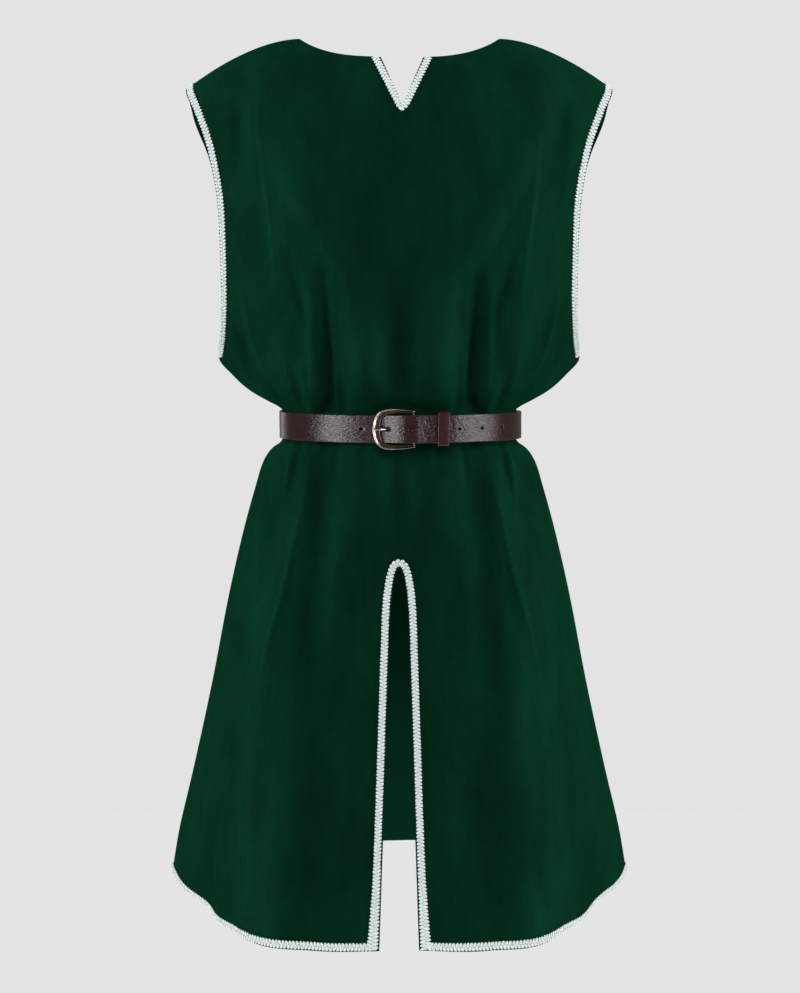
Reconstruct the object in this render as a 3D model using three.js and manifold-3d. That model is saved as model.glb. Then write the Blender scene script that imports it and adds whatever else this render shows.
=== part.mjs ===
// A sleeveless, belted surcoat of the medieval kind, worn but with nobody in it: a front and a back, each a
// bodice and a skirt that meet under the belt, joined at shoulders and sides, with braid on notch, armholes,
// slit and hem, and a leather belt with a buckle.
// Millimetres. +Z is up, the front faces -Y, +X is the wearer's left side.
// The origin lies midway between the neck ends of the two shoulder seams.
import * as THREE from 'three';
import { mergeVertices } from 'three/addons/utils/BufferGeometryUtils.js';
import Module from 'manifold-3d';

const wasm = await Module();
wasm.setup();

// ---------------------------------------------------------------- driving dimensions
const HEM = -993;
const ARMPIT = -356;
const NECK_HALF = 112.7;
const TIP_HALF = 240;
const TIP_DROP = 55;
const SHOULDER_BEND = 1.7;
const NECK_RISE = 8;
const SHOULDER_ROUND = 110;
const CLOTH = 1.5;
const GAP = 0.3;
const NECKLINES = {
  front: { drop: 28.2, power: 3.2, bow: 0.85 },
  back: { drop: 67, power: 2.2, bow: 0.8 },
};
const NOTCH = { low: -83.8, outerLow: -90.6, half: 23.5, outerHalf: 32.2 };
const NOTCH_LEAN = { shift: 3.5, reach: 100, low: -140 };
const SLIT = { top: -582, outerTop: -570.6, half: 10.2, outerHalf: 18.7, flare: 0.0243 };
const SLIT_ARCH = { inner: 60, outer: 45 };
const CENTRE_COLUMN = 6;
const BRAID = { width: 9.5, armhole: 10, thick: 1.5 };

const BELT = { z: -432, height: 30.5, thick: 2.4, fineStep: 4, step: 9 };
const BAR = { along: 16, lift: 5.45, radius: 1.5, half: 18 };
const FRAME = { thick: 3.6, thin: 2.6, steps: 30, barLift: 5.9, rimLift: 6.7 };
const PRONG = { thick: 2.4, ringInner: 1.8, ringOuter: 3.1, at: -14.5, tipLength: 1, tipShare: 0.6 };
const KEEPER = { from: 41, to: 53, thick: 1.8, inner: 1.25, outer: 10.8, spare: 2 };
const HOLE = { radius: 1.5, spacing: 26.5, places: [-1, 1, 2, 3, 4, 5] };
const PRONG_SLOT = { length: 9, height: 3.4, reach: 6, lift: 4.2 };
const FOLD_SLOT = { from: 10, to: 20.5, inner: 1, outer: 9.75, half: 2.3 };

// How finely round shapes are cut into flats, and the step in degrees of the strap's bend.
const FACETS = { girth: 90, hole: 10, bar: 14, eye: 18, shank: 24, bendStep: 22.5 };
// How far a cutter reaches past what it cuts.
const PAST = { hole: 0.2, keeper: 2 };
const BELT_EDGE = { margin: 5, deepest: -4 };

// ---------------------------------------------------------------- tables
/** Rows of a table as objects, with the names of its columns given once. */
function table(columns, rows) {
  return rows.map((row) => Object.fromEntries(columns.map((name, i) => [name, row[i]])));
}

// One row for each level: half widths of front and back, the depths of their edges and of their middles, and
// the power and the bow of the curve from middle to edge.
const SECTIONS = table(
  ['z', 'half', 'halfBack', 'edge', 'edgeBack', 'front', 'back', 'power', 'bow', 'powerBack', 'bowBack'],
  [
    [-993, 281.5, 281.5, 72, 72, 186, 181, 3.4, 0.93, 2.6, 0.75],
    [-938, 270.5, 270.5, 58, 58, 177, 173, 3.3, 0.86, 2.6, 0.74],
    [-859, 250.6, 250.6, 45, 45, 165, 164, 3.2, 0.82, 2.6, 0.72],
    [-743, 223.2, 223.2, 28, 28, 147, 152, 3.1, 0.76, 2.5, 0.68],
    [-630, 199, 199, 10, 10, 129, 139, 2.9, 0.68, 2.4, 0.62],
    [-557, 180.8, 180.8, -1, -1, 119, 124, 2.7, 0.6, 2.3, 0.56],
    [-503, 165, 165, -10, -10, 111, 103, 2.5, 0.56, 2.3, 0.53],
    [-476, 156, 156, -15, -15, 107, 86, 2.4, 0.52, 2.2, 0.52],
    [-461, 146.5, 146.5, -18, -18, 102.3, 74, 2.3, 0.5, 2.2, 0.5],
    [-450, 133.4, 133.4, -20, -20, 101.5, 68, 2.2, 0.5, 2.2, 0.5],
    [-414, 133.4, 133.4, -20, -20, 101.5, 68, 2.2, 0.5, 2.2, 0.5],
    [-407, 146, 146, -18, -18, 102.3, 76, 2.3, 0.56, 2.3, 0.56],
    [-393.4, 171, 171, -12, -12, 110, 92, 2.3, 0.7, 2.3, 0.7],
    [-376.5, 190.6, 190.6, -6, -6, 117.5, 99, 2.2, 0.86, 2.2, 0.86],
    [-356, 207.3, 207.3, 0, 0, 121, 103, 2.2, 1, 2.2, 1],
    [-325, 202.4, 204.5, -24, 24, 120, 107, 2.2, 1, 2.2, 1],
    [-280, 199.2, 202.5, -42, 40, 117, 111, 2.2, 1, 2.2, 1],
    [-200, 200.8, 207, -44, 46, 107, 112, 2.2, 1, 2.2, 1],
    [-130, 211.5, 220, -40, 42, 95, 102, 2.2, 1, 2.2, 1],
    [-80, 229.8, 236.8, -36, 38, 84, 91, 2.2, 1, 2.2, 1],
    [-55, TIP_HALF, TIP_HALF, -34, 36, 79, 86, 2.2, 1, 2.2, 1],
    [NECK_RISE, TIP_HALF, TIP_HALF, -30, 32, 72, 78, 2.2, 1, 2.2, 1],
  ],
);

// One row for each main fold. Its line runs from share "from" of the half panel's width at zTop to share
// "to" at zLow, and it is strongest at zPeak. "left" and "right" give its height there, outward if positive.
const FOLDS = table(
  ['side', 'zTop', 'zPeak', 'zLow', 'from', 'to', 'width', 'left', 'right'],
  [
    ['front', -190, -385, -452, 0.43, 0.42, 24, -13, -11],
    ['front', -230, -345, -414, 0.66, 0.55, 22, 5, 6],
    ['front', -280, -370, -414, 0.26, 0.25, 26, 5, 4],
    ['front', -446, -478, -690, 0.46, 0.39, 24, -10, -9],
    ['front', -446, -560, -760, 0.56, 0.6, 26, 8, 9],
    ['front', -446, -480, -560, 0.8, 0.68, 24, -6, -5],
    ['front', -740, -880, -1020, 0.22, 0.17, 55, -4, -5],
    ['front', -700, -860, -1010, 0.66, 0.45, 55, 5, 4],
    ['front', -830, -993, -1160, 0.42, 0.3, 55, 7, 8],
    ['front', -780, -993, -1210, 0.76, 0.6, 60, -8, -7],
    ['back', -150, -385, -452, 0.34, 0.36, 26, -11, -12],
    ['back', -240, -360, -414, 0.6, 0.55, 24, 6, 5],
    ['back', -446, -480, -700, 0.38, 0.34, 26, -9, -11],
    ['back', -446, -570, -800, 0.52, 0.56, 28, 9, 8],
    ['back', -640, -993, -1250, 0.26, 0.22, 62, -9, -7],
  ],
);

// The seam between skirt and bodice, which the belt covers.
const SEAM = { low: BELT.z - GAP / 2, high: BELT.z + GAP / 2 };

// Levels of the panel rows from the hem up to where the rows start to bend towards the shoulder line.
const LEVELS = [
  HEM, HEM + BRAID.width, -955, -915, -870, -820, -770, -720, -675, -630, -600, -587, SLIT.top, -576.5,
  SLIT.outerTop, -545, -515, -490, -470, -458, -450, SEAM.low, SEAM.high, -414, -405, -392, -376, ARMPIT,
  -322, -280, -240, -200, -160, -125,
];
// Shares of the height from the last level up to the shoulder line or neckline. The second and the third are
// the outer and inner corners of the notch.
const NOTCH_SPAN = -NECKLINES.front.drop - LEVELS.at(-1);
const TOP_SHARES = [
  0.18, (NOTCH.outerLow - LEVELS.at(-1)) / NOTCH_SPAN, (NOTCH.low - LEVELS.at(-1)) / NOTCH_SPAN,
  0.58, 0.73, 0.86, 0.95, 0.99, 1,
];
// Shares of the width from the column beside the middle to the edge; the third runs to the neck point.
const NECK_COLUMN = (NECK_HALF - NOTCH.outerHalf) / (TIP_HALF - NOTCH.outerHalf);
const COLUMN_SHARES = [0.13, 0.27, NECK_COLUMN, 0.46, 0.54, 0.63, 0.73, 0.83, 0.92];

const LAST_ROW = LEVELS.length + TOP_SHARES.length - 1;
const LAST_COLUMN = COLUMN_SHARES.length + 3;
const SEAM_ROW = LEVELS.indexOf(SEAM.low);
const ARMPIT_ROW = LEVELS.indexOf(ARMPIT);
const SLIT_ROW = LEVELS.indexOf(SLIT.outerTop);
const NOTCH_ROW = LEVELS.length + 1;

// The strap as a spiral: "along" is the distance round the waist from the middle of the front, "lift" the
// distance of the strap's middle from the cloth's. It starts as a short flap, turns back round the buckle's
// bar, goes once round the waist and ends with its tip over its own beginning.
const FLAP = { end: 38, lift: 2.45 };
const STRAP_OUT = table(['along', 'lift'], [
  [16, 8.45],
  [20, 7.6],
  [26, 5.7],
  [33, 5.15],
  [42, 4.6],
  [56, 4.55],
  [70, 3.4],
  [84, 2.45],
]);
const STRAP_BACK = table(['along', 'lift'], [
  [-36, 2.45],
  [-28, 2.6],
  [-20, 2.8],
  [-16, 3.3],
  [-13, 4.15],
  [-7, 6.6],
  [1, 9.5],
  [9, 11.1],
  [17, 11.15],
  [23, 9.8],
  [30, 8.3],
  [40, 7.4],
  [56, 7.3],
  [70, 6.2],
  [84, 5.2],
]);
const STRAP_TIP = { along: 200, taper: 15 };

// Half of the buckle's outline, seen from the front, from its bar to the middle of the rim.
const FRAME_LINE = table(['along', 'up', 'width'], [
  [17.5, 18.4, 2.8],
  [6, 19.6, 4.2],
  [-7, 19.7, 5.6],
  [-14, 19.2, 6],
  [-18.3, 17.2, 6.6],
  [-21.5, 12.1, 7.3],
  [-24.7, 0, 8],
]);
const PRONG_LINE = table(['along', 'lift'], [
  [13.9, 4.9],
  [5, 3.4],
  [-4, 2.6],
  [-9.5, 2.5],
  [-12.5, 3.6],
  [-16.5, 7.2],
  [-20.8, 10.1],
  [-24, 10.5],
  [-28.3, 10.3],
]);

// ---------------------------------------------------------------- small helpers
const lerp = THREE.MathUtils.lerp;
const clamp = THREE.MathUtils.clamp;

/** Value of a column at a level, on a smooth curve that never overshoots its rows. */
function read(table, column, at, key = 'z') {
  const place = clamp(at, table[0][key], table.at(-1)[key]);
  let i = table.findIndex((row, k) => k + 1 < table.length && place <= table[k + 1][key]);
  const gap = (k) => table[k + 1][key] - table[k][key];
  const slope = (k) => (table[k + 1][column] - table[k][column]) / gap(k);
  const tangent = (k) => {
    if (k === 0 || k === table.length - 1) return slope(Math.min(k, table.length - 2));
    const before = slope(k - 1);
    const after = slope(k);
    if (before * after <= 0) return 0;
    const a = 2 * gap(k) + gap(k - 1);
    const b = gap(k) + 2 * gap(k - 1);
    return (a + b) / (a / before + b / after);
  };
  i = Math.max(i, 0);
  const t = (place - table[i][key]) / gap(i);
  const h = gap(i);
  return (1 + 2 * t) * (1 - t) ** 2 * table[i][column] + t * (1 - t) ** 2 * h * tangent(i)
    + t * t * (3 - 2 * t) * table[i + 1][column] + t * t * (t - 1) * h * tangent(i + 1);
}

/** Smooth bump of height 1 at 0 that is gone at -1 and 1. */
function bump(t) {
  return Math.abs(t) < 1 ? (1 - t * t) ** 2 : 0;
}

// ---------------------------------------------------------------- the garment's surface
/** Height of the shoulder at x; between the neck points it is where the shoulder would run on. */
function shoulder(x) {
  const across = Math.abs(x);
  if (across < NECK_HALF) return NECK_RISE * (1 - (across / NECK_HALF) ** 2);
  return -TIP_DROP * ((across - NECK_HALF) / (TIP_HALF - NECK_HALF)) ** SHOULDER_BEND;
}

/** Height of a panel's upper edge at x: its neckline, then the shoulder seam. */
function upperEdge(side, x) {
  if (x >= NECK_HALF) return shoulder(x);
  const { drop, power, bow } = NECKLINES[side];
  return -drop * (1 - (x / NECK_HALF) ** power) ** bow;
}

/** Share of the full depth that the cloth has reached at this distance below the shoulder. */
function overShoulder(below) {
  return Math.sqrt(1 - (1 - clamp(below / SHOULDER_ROUND, 0, 1)) ** 2);
}

function halfWidth(side, z) {
  return read(SECTIONS, side === 'front' ? 'half' : 'halfBack', z);
}

/** Depth (y) of a panel's smooth form at u, the share of the half width, and height z. */
function depth(side, u, x, z) {
  const tail = side === 'front' ? '' : 'Back';
  const edge = read(SECTIONS, `edge${tail}`, z);
  const middle = side === 'front' ? -read(SECTIONS, 'front', z) : read(SECTIONS, 'back', z);
  const power = read(SECTIONS, `power${tail}`, z);
  const bow = read(SECTIONS, `bow${tail}`, z);
  const full = edge + (middle - edge) * Math.max(0, 1 - u ** power) ** bow;
  return z > ARMPIT ? full * overShoulder(shoulder(x) - z) : full;
}

const girths = new Map();
/** Points round half a panel at one level, with their distances from its middle along the cloth. */
function girth(side, z) {
  const key = `${side} ${z}`;
  if (girths.has(key)) return girths.get(key);
  const half = halfWidth(side, z);
  const points = [];
  for (let i = 0; i <= FACETS.girth; i++) {
    const u = Math.sin((i / FACETS.girth) * Math.PI / 2);
    const y = depth(side, u, u * half, z);
    const last = points.at(-1);
    const along = last ? last.along + Math.hypot(u * half - last.u * half, y - last.y) : 0;
    points.push({ u, y, along });
  }
  girths.set(key, points);
  return points;
}

/** Share of the half width that lies at a share of the cloth's own width. */
function unrolled(side, share, z) {
  const points = girth(side, z);
  const target = share * points.at(-1).along;
  const i = Math.max(1, points.findIndex((point) => point.along >= target - 1e-9));
  const t = (target - points[i - 1].along) / (points[i].along - points[i - 1].along);
  return lerp(points[i - 1].u, points[i].u, clamp(t, 0, 1));
}

/** Share of the cloth's own width at distance x from the middle. */
function shareAt(side, x, z) {
  const points = girth(side, z);
  const half = halfWidth(side, z);
  const i = Math.max(1, points.findIndex((point) => point.u * half >= x));
  const t = (x / half - points[i - 1].u) / (points[i].u - points[i - 1].u);
  return lerp(points[i - 1].along, points[i].along, t) / points.at(-1).along;
}

/** Outward height of all folds at a share of one half panel; under the belt cloth only goes inward. */
function foldHeight(side, hand, share, z) {
  const width = girth(side, z).at(-1).along;
  let height = 0;
  for (const fold of FOLDS.filter((row) => row.side === side && z < row.zTop && z > row.zLow)) {
    const line = lerp(fold.from, fold.to, (fold.zTop - z) / (fold.zTop - fold.zLow));
    const reach = z > fold.zPeak ? fold.zTop - fold.zPeak : fold.zPeak - fold.zLow;
    height += fold[hand] * bump((share - line) * width / fold.width) * bump((z - fold.zPeak) / reach);
  }
  const belted = Math.abs(z - BELT.z) < BELT.height / 2 + BELT_EDGE.margin;
  return belted ? clamp(height, BELT_EDGE.deepest, 0) : height;
}

/** How far the cloth round the notch leans to one side, as it hangs. */
function lean(side, x, z) {
  if (side === 'back') return 0;
  const { shift, reach, low } = NOTCH_LEAN;
  return shift * bump(x / reach) * clamp((z - low) / (NOTCH.low - low), 0, 1);
}

/** A point of a panel's middle surface, folds included. */
function clothPoint(side, hand, share, u, z) {
  const x = u * halfWidth(side, z);
  const nudge = 0.004;
  const sign = side === 'front' ? 1 : -1;
  const before = Math.max(0, u - nudge);
  const after = Math.min(1, u + nudge);
  const run = (after - before) * halfWidth(side, z);
  const rise = depth(side, after, x, z) - depth(side, before, x, z);
  const length = Math.hypot(run, rise);
  const height = foldHeight(side, hand, share, z);
  const y = depth(side, u, x, z) - sign * height * run / length;
  const across = (x + sign * height * rise / length) * (hand === 'left' ? -1 : 1);
  return new THREE.Vector3(across + lean(side, x, z), y, z);
}

// ---------------------------------------------------------------- openings in the panels
/** Half width of the slit at a level, or of its braid's outer edge. */
function slitHalf(z, outer) {
  const below = (outer ? SLIT.outerTop : SLIT.top) - z;
  if (below <= 0) return 0;
  const round = outer ? SLIT_ARCH.outer : SLIT_ARCH.inner;
  const arch = Math.sqrt(1 - (1 - Math.min(below / round, 1)) ** 2);
  return (outer ? SLIT.outerHalf : SLIT.half) * arch + SLIT.flare * below;
}

/** Half width of the notch at a level, or of its braid's outer edge. */
function notchHalf(z, outer) {
  const low = outer ? NOTCH.outerLow : NOTCH.low;
  const half = outer ? NOTCH.outerHalf : NOTCH.half;
  return half * Math.max(0, z - low) / (-NECKLINES.front.drop - low);
}

/** Distances from the middle of a panel's first two columns at a level. */
function innerColumns(side, z) {
  if (side === 'back') return [0, CENTRE_COLUMN];
  if (z <= SLIT.outerTop) return [slitHalf(z, false), slitHalf(z, true)];
  if (z >= NOTCH.outerLow - 1e-6) return [notchHalf(z, false), notchHalf(z, true)];
  return [0, CENTRE_COLUMN];
}

// ---------------------------------------------------------------- panels as grids of stations
/** Rows of stations of one half panel, from hem to upper edge and from the middle out. */
function halfPanel(side, hand) {
  const rows = LEVELS.map((z) => {
    const [first, second] = innerColumns(side, z).map((x) => shareAt(side, x, z));
    const trim = 1 - BRAID.armhole / girth(side, z).at(-1).along;
    const shares = [first, second, ...COLUMN_SHARES.map((t) => lerp(second, 1, t)), trim, 1];
    return shares.map((share) => ({ point: clothPoint(side, hand, share, unrolled(side, share, z), z) }));
  });
  const base = LEVELS.at(-1);
  const baseRow = rows.at(-1);
  for (const climb of TOP_SHARES) {
    const middleZ = lerp(base, upperEdge(side, 0), climb);
    const [, topSecond] = innerColumns(side, upperEdge(side, 0));
    const second = topSecond / TIP_HALF;
    const trim = 1 - BRAID.armhole / TIP_HALF;
    const tops = [0, second, ...COLUMN_SHARES.map((t) => lerp(second, 1, t)), trim, 1];
    rows.push(tops.map((topU, column) => {
      const baseU = Math.abs(baseRow[column].point.x) / halfWidth(side, base);
      const z = lerp(base, upperEdge(side, topU * TIP_HALF), climb);
      const free = column > 1;
      const u = free ? lerp(baseU, topU, climb) : innerColumns(side, middleZ)[column] / halfWidth(side, z);
      return { point: clothPoint(side, hand, u, u, z) };
    }));
  }
  return rows;
}

// ---------------------------------------------------------------- sheets and walls
/** A surface of triangles between stations, which are merged where they coincide. */
class Sheet {
  constructor() {
    this.stations = [];
    this.triangles = [];
    this.places = new Map();
  }

  corner(station) {
    const key = station.point.toArray().map((value) => Math.round(value * 1e3)).join();
    if (!this.places.has(key)) {
      this.places.set(key, this.stations.length);
      this.stations.push(station);
    }
    return this.places.get(key);
  }

  quad(a, b, c, d, flip) {
    const corners = [a, b, c, d].map((station) => this.corner(station));
    for (const triangle of [[0, 1, 2], [0, 2, 3]]) {
      const [i, j, k] = triangle.map((place) => corners[place]);
      if (i !== j && j !== k && k !== i) this.triangles.push(flip ? [i, k, j] : [i, j, k]);
    }
  }

  /** Adds the cells of a grid between these rows and columns. */
  cells(grid, flip, firstRow, lastRow, firstColumn, lastColumn) {
    for (let row = firstRow; row < lastRow; row++) {
      for (let column = firstColumn; column < lastColumn; column++) {
        this.quad(
          grid[row][column], grid[row][column + 1], grid[row + 1][column + 1], grid[row + 1][column], flip,
        );
      }
    }
  }

  /** Gives each station the mean direction of the triangles round it. */
  setNormals() {
    const sums = this.stations.map(() => new THREE.Vector3());
    for (const triangle of this.triangles) {
      const [a, b, c] = triangle.map((i) => this.stations[i].point);
      const across = new THREE.Vector3().subVectors(b, a).cross(new THREE.Vector3().subVectors(c, a));
      for (const i of triangle) sums[i].add(across);
    }
    this.stations.forEach((station, i) => {
      station.normal = sums[i].normalize();
    });
  }

  /** The closed wall between two distances from the surface. */
  wall(inner, outer) {
    const count = this.stations.length;
    const positions = [outer, inner].flatMap((distance) => this.stations.flatMap(
      ({ point, normal }) => point.clone().addScaledVector(normal, distance).toArray(),
    ));
    const edges = new Set(this.triangles.flatMap(([i, j, k]) => [`${i} ${j}`, `${j} ${k}`, `${k} ${i}`]));
    const index = [];
    for (const [i, j, k] of this.triangles) {
      index.push(i, j, k, count + i, count + k, count + j);
      for (const [from, to] of [[i, j], [j, k], [k, i]]) {
        if (!edges.has(`${to} ${from}`)) index.push(to, from, count + from, to, count + from, count + to);
      }
    }
    return shape(positions, index);
  }
}

function shape(positions, index) {
  const geometry = new THREE.BufferGeometry();
  geometry.setAttribute('position', new THREE.Float32BufferAttribute(positions, 3));
  geometry.setIndex(index);
  return geometry;
}

const HANDS = ['left', 'right'];
const isFlipped = (side, hand) => (side === 'front') !== (hand === 'right');

/** The sheet over these rows of both halves of a panel, from the middle to this column. */
function bothHalves({ side, grids }, firstRow, lastRow, lastColumn) {
  const sheet = new Sheet();
  for (const hand of HANDS) {
    sheet.cells(grids[hand], isFlipped(side, hand), firstRow, lastRow, 0, lastColumn);
  }
  return sheet;
}

/** Grids of both halves of a panel, as cut: with normals, and with the seams' allowance taken off. */
function panel(side) {
  const grids = Object.fromEntries(HANDS.map((hand) => [hand, halfPanel(side, hand)]));
  const sheet = bothHalves({ side, grids }, 0, LAST_ROW, LAST_COLUMN);
  for (const row of HANDS.flatMap((hand) => grids[hand])) {
    row.forEach((station, i) => {
      row[i] = sheet.stations[sheet.corner(station)];
    });
  }
  sheet.setNormals();
  const out = side === 'front' ? -1 : 1;
  for (const { point, normal } of sheet.stations.filter(isOnSeam)) {
    point.y += out * (GAP / 2 + Math.abs(normal.y) * CLOTH / 2);
  }
  return { side, grids };
}

/** True for stations on the side seams and the shoulder seams, before the seam allowance is taken off. */
function isOnSeam({ point }) {
  const across = Math.abs(point.x);
  if (point.z > ARMPIT + 1) return across > NECK_HALF - 0.5 && Math.abs(point.y) < 0.01;
  return across > halfWidth('front', point.z) - 0.01;
}

const front = panel('front');
const back = panel('back');

const clothWall = (sheet) => sheet.wall(-CLOTH / 2, CLOTH / 2);
const braidWall = (sheet) => sheet.wall(CLOTH / 2 + GAP, CLOTH / 2 + GAP + BRAID.thick);

const skirt = (side) => clothWall(bothHalves(side, 0, SEAM_ROW, LAST_COLUMN));
const bodice = (side) => clothWall(bothHalves(side, SEAM_ROW + 1, LAST_ROW, LAST_COLUMN));

/** Braid over the inmost column of cells of the front, on both sides of the slit or the notch. */
const openingBraid = (firstRow, lastRow) => braidWall(bothHalves(front, firstRow, lastRow, 1));

/** Braid along one half of the front's hem, a gap clear of the slit's braid. */
function frontHemBraid(hand) {
  const sheet = new Sheet();
  const rows = front.grids[hand].slice(0, 2).map((row) => {
    const [near, far] = [row[1], row[2]];
    const share = GAP / near.point.distanceTo(far.point);
    const start = { point: near.point.clone().lerp(far.point, share), normal: near.normal };
    return [start, ...row.slice(2)];
  });
  sheet.cells(rows, isFlipped('front', hand), 0, 1, 0, rows[0].length - 1);
  return braidWall(sheet);
}

/** Braid up the front edge of an armhole, over the shoulder seam and down the back edge. */
function armholeBraid(hand) {
  const sheet = new Sheet();
  const [frontGrid, backGrid] = [front.grids[hand], back.grids[hand]];
  const top = [LAST_COLUMN - 1, LAST_COLUMN].map((column) => {
    const [a, b] = [frontGrid[LAST_ROW][column], backGrid[LAST_ROW][column]];
    const normal = a.normal.clone().add(b.normal).normalize();
    return { point: a.point.clone().lerp(b.point, 0.5), normal };
  });
  for (const [grid, side] of [[frontGrid, 'front'], [backGrid, 'back']]) {
    const strip = grid.slice(ARMPIT_ROW, LAST_ROW).map((row) => row.slice(LAST_COLUMN - 1));
    sheet.cells([...strip, top], isFlipped(side, hand), 0, strip.length, 0, 1);
  }
  return braidWall(sheet);
}

// ---------------------------------------------------------------- solids cut and joined
function solid(geometry) {
  const bare = geometry.clone();
  bare.deleteAttribute('normal');
  bare.deleteAttribute('uv');
  const merged = mergeVertices(bare, 1e-4);
  return new wasm.Manifold(new wasm.Mesh({
    numProp: 3,
    vertProperties: new Float32Array(merged.attributes.position.array),
    triVerts: new Uint32Array(merged.index.array),
  }));
}

function geometryOf(manifold) {
  const { vertProperties, triVerts } = manifold.getMesh();
  return shape(Array.from(vertProperties), Array.from(triVerts));
}

// ---------------------------------------------------------------- belt
/** The waist's outline at the belt, once round from the middle of the front towards +X. */
const waistLine = (() => {
  const half = halfWidth('front', BELT.z);
  const quarter = (side) => girth(side, BELT.z).map(({ u, y }) => new THREE.Vector2(u * half, y));
  const right = [...quarter('front'), ...quarter('back').reverse().slice(1)];
  const left = right.slice(1, -1).reverse().map(({ x, y }) => new THREE.Vector2(-x, y));
  const points = [...right, ...left, right[0]];
  const lengths = [0];
  points.slice(1).forEach((point, i) => lengths.push(lengths[i] + point.distanceTo(points[i])));
  return { points, lengths, length: lengths.at(-1) };
})();

/** The point and the outward direction at a distance along the waist's outline. */
function waist(along) {
  const { points, lengths, length } = waistLine;
  const at = (distance) => {
    const place = THREE.MathUtils.euclideanModulo(distance, length);
    const i = Math.max(1, lengths.findIndex((value) => value >= place));
    return points[i - 1].clone().lerp(points[i], (place - lengths[i - 1]) / (lengths[i] - lengths[i - 1]));
  };
  const tangent = at(along + 2).sub(at(along - 2)).normalize();
  return { point: at(along), out: new THREE.Vector2(tangent.y, -tangent.x), tangent };
}

/** World point at a distance along the waist, a height from the belt's middle and a lift from the cloth. */
function onBelt(along, up, lift) {
  const { point, out } = waist(along);
  return new THREE.Vector3(point.x + out.x * lift, point.y + out.y * lift, BELT.z + up);
}

/** Turns a geometry made with X along the belt, Y up and Z outward, and puts it at a place on the belt. */
function placed(geometry, along, up, lift) {
  const { out, tangent } = waist(along);
  const flat = ({ x, y }) => new THREE.Vector3(x, y, 0);
  const basis = new THREE.Matrix4().makeBasis(flat(tangent), new THREE.Vector3(0, 0, 1), flat(out));
  return geometry.applyMatrix4(basis.setPosition(onBelt(along, up, lift)));
}

/** Closes a row of equal rings of points into a body. */
function loft(rings) {
  const size = rings[0].length;
  const index = [];
  for (let i = 0; i + 1 < rings.length; i++) {
    for (let j = 0; j < size; j++) {
      const [a, b] = [i * size + j, i * size + (j + 1) % size];
      index.push(a, b, b + size, a, b + size, a + size);
    }
  }
  const last = (rings.length - 1) * size;
  for (let j = 1; j + 1 < size; j++) {
    index.push(0, j + 1, j, last, last + j, last + j + 1);
  }
  return shape(rings.flat().flatMap((point) => point.toArray()), index);
}

/** A band of leather or metal along a route of { along, lift, half }, upright on its edge. */
function band(route, thick) {
  const line = route.map(({ along, lift }) => onBelt(along, 0, lift));
  const rings = line.map((point, i) => {
    const [before, after] = [line[Math.max(i - 1, 0)], line[Math.min(i + 1, line.length - 1)]];
    const tangent = after.clone().sub(before).normalize();
    const out = new THREE.Vector3(tangent.y, -tangent.x, 0);
    const { half } = route[i];
    return [[1, 1], [1, -1], [-1, -1], [-1, 1]].map(([outward, up]) => point.clone()
      .addScaledVector(out, outward * thick / 2).add(new THREE.Vector3(0, 0, up * half)));
  });
  return loft(rings);
}

/** Numbers from one value to another, both kept, in equal steps of about this size. */
function steps(from, to, size) {
  const count = Math.max(1, Math.round(Math.abs(to - from) / size));
  return Array.from({ length: count + 1 }, (_, i) => lerp(from, to, i / count));
}

function strapRoute() {
  const half = BELT.height / 2;
  const turn = BAR.lift - FLAP.lift;
  const lap = waistLine.length;
  const smooth = (table, size) => steps(table[0].along, table.at(-1).along, size)
    .map((along) => ({ along, lift: read(table, 'lift', along, 'along'), half }));
  const flap = steps(FLAP.end, BAR.along, BELT.fineStep).map((along) => ({ along, lift: FLAP.lift, half }));
  const bend = steps(-90, 90, FACETS.bendStep).slice(1, -1).map((degrees) => {
    const angle = THREE.MathUtils.degToRad(degrees);
    return { along: BAR.along - turn * Math.cos(angle), lift: BAR.lift + turn * Math.sin(angle), half };
  });
  const round = steps(STRAP_OUT.at(-1).along, lap + STRAP_BACK[0].along, BELT.step).slice(1, -1)
    .map((along) => ({ along, lift: FLAP.lift, half }));
  const over = smooth(STRAP_BACK, BELT.fineStep).map((row) => ({ ...row, along: row.along + lap }));
  const end = steps(STRAP_BACK.at(-1).along, STRAP_TIP.along, BELT.step / 2).slice(1).map((along) => {
    const into = clamp((along - STRAP_TIP.along + STRAP_TIP.taper) / STRAP_TIP.taper, 0, 0.97);
    return { along: along + lap, lift: STRAP_BACK.at(-1).lift, half: half * Math.sqrt(1 - into ** 2) };
  });
  return [...flap, ...bend, ...smooth(STRAP_OUT, BELT.fineStep), ...round, ...over, ...end];
}

function beltStrap() {
  let strap = solid(band(strapRoute(), BELT.thick));
  for (const place of HOLE.places) {
    const along = PRONG.at + place * HOLE.spacing;
    const depth = BELT.thick + 2 * PAST.hole;
    const pin = new THREE.CylinderGeometry(HOLE.radius, HOLE.radius, depth, FACETS.hole).rotateX(Math.PI / 2);
    strap = strap.subtract(solid(placed(pin, along, 0, read(STRAP_BACK, 'lift', along, 'along'))));
  }
  const { length, height, reach, lift } = PRONG_SLOT;
  strap = strap.subtract(solid(placed(new THREE.BoxGeometry(length, height, reach), PRONG.at, 0, lift)));
  const fold = FOLD_SLOT;
  const box = new THREE.BoxGeometry(fold.to - fold.from, 2 * fold.half, fold.outer - fold.inner);
  return geometryOf(strap.subtract(solid(
    placed(box, (fold.from + fold.to) / 2, 0, (fold.inner + fold.outer) / 2),
  )));
}

function beltKeeper() {
  const { from, to, thick, inner, outer, spare } = KEEPER;
  const half = BELT.height / 2 + spare;
  const lift = (inner + outer) / 2;
  const block = (start, end, grow) => solid(band(
    steps(start, end, BELT.fineStep).map((along) => ({ along, lift, half: half + grow })),
    outer - inner - 2 * (thick - grow),
  ));
  return geometryOf(block(from, to, thick).subtract(block(from - PAST.keeper, to + PAST.keeper, 0)));
}

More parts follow.
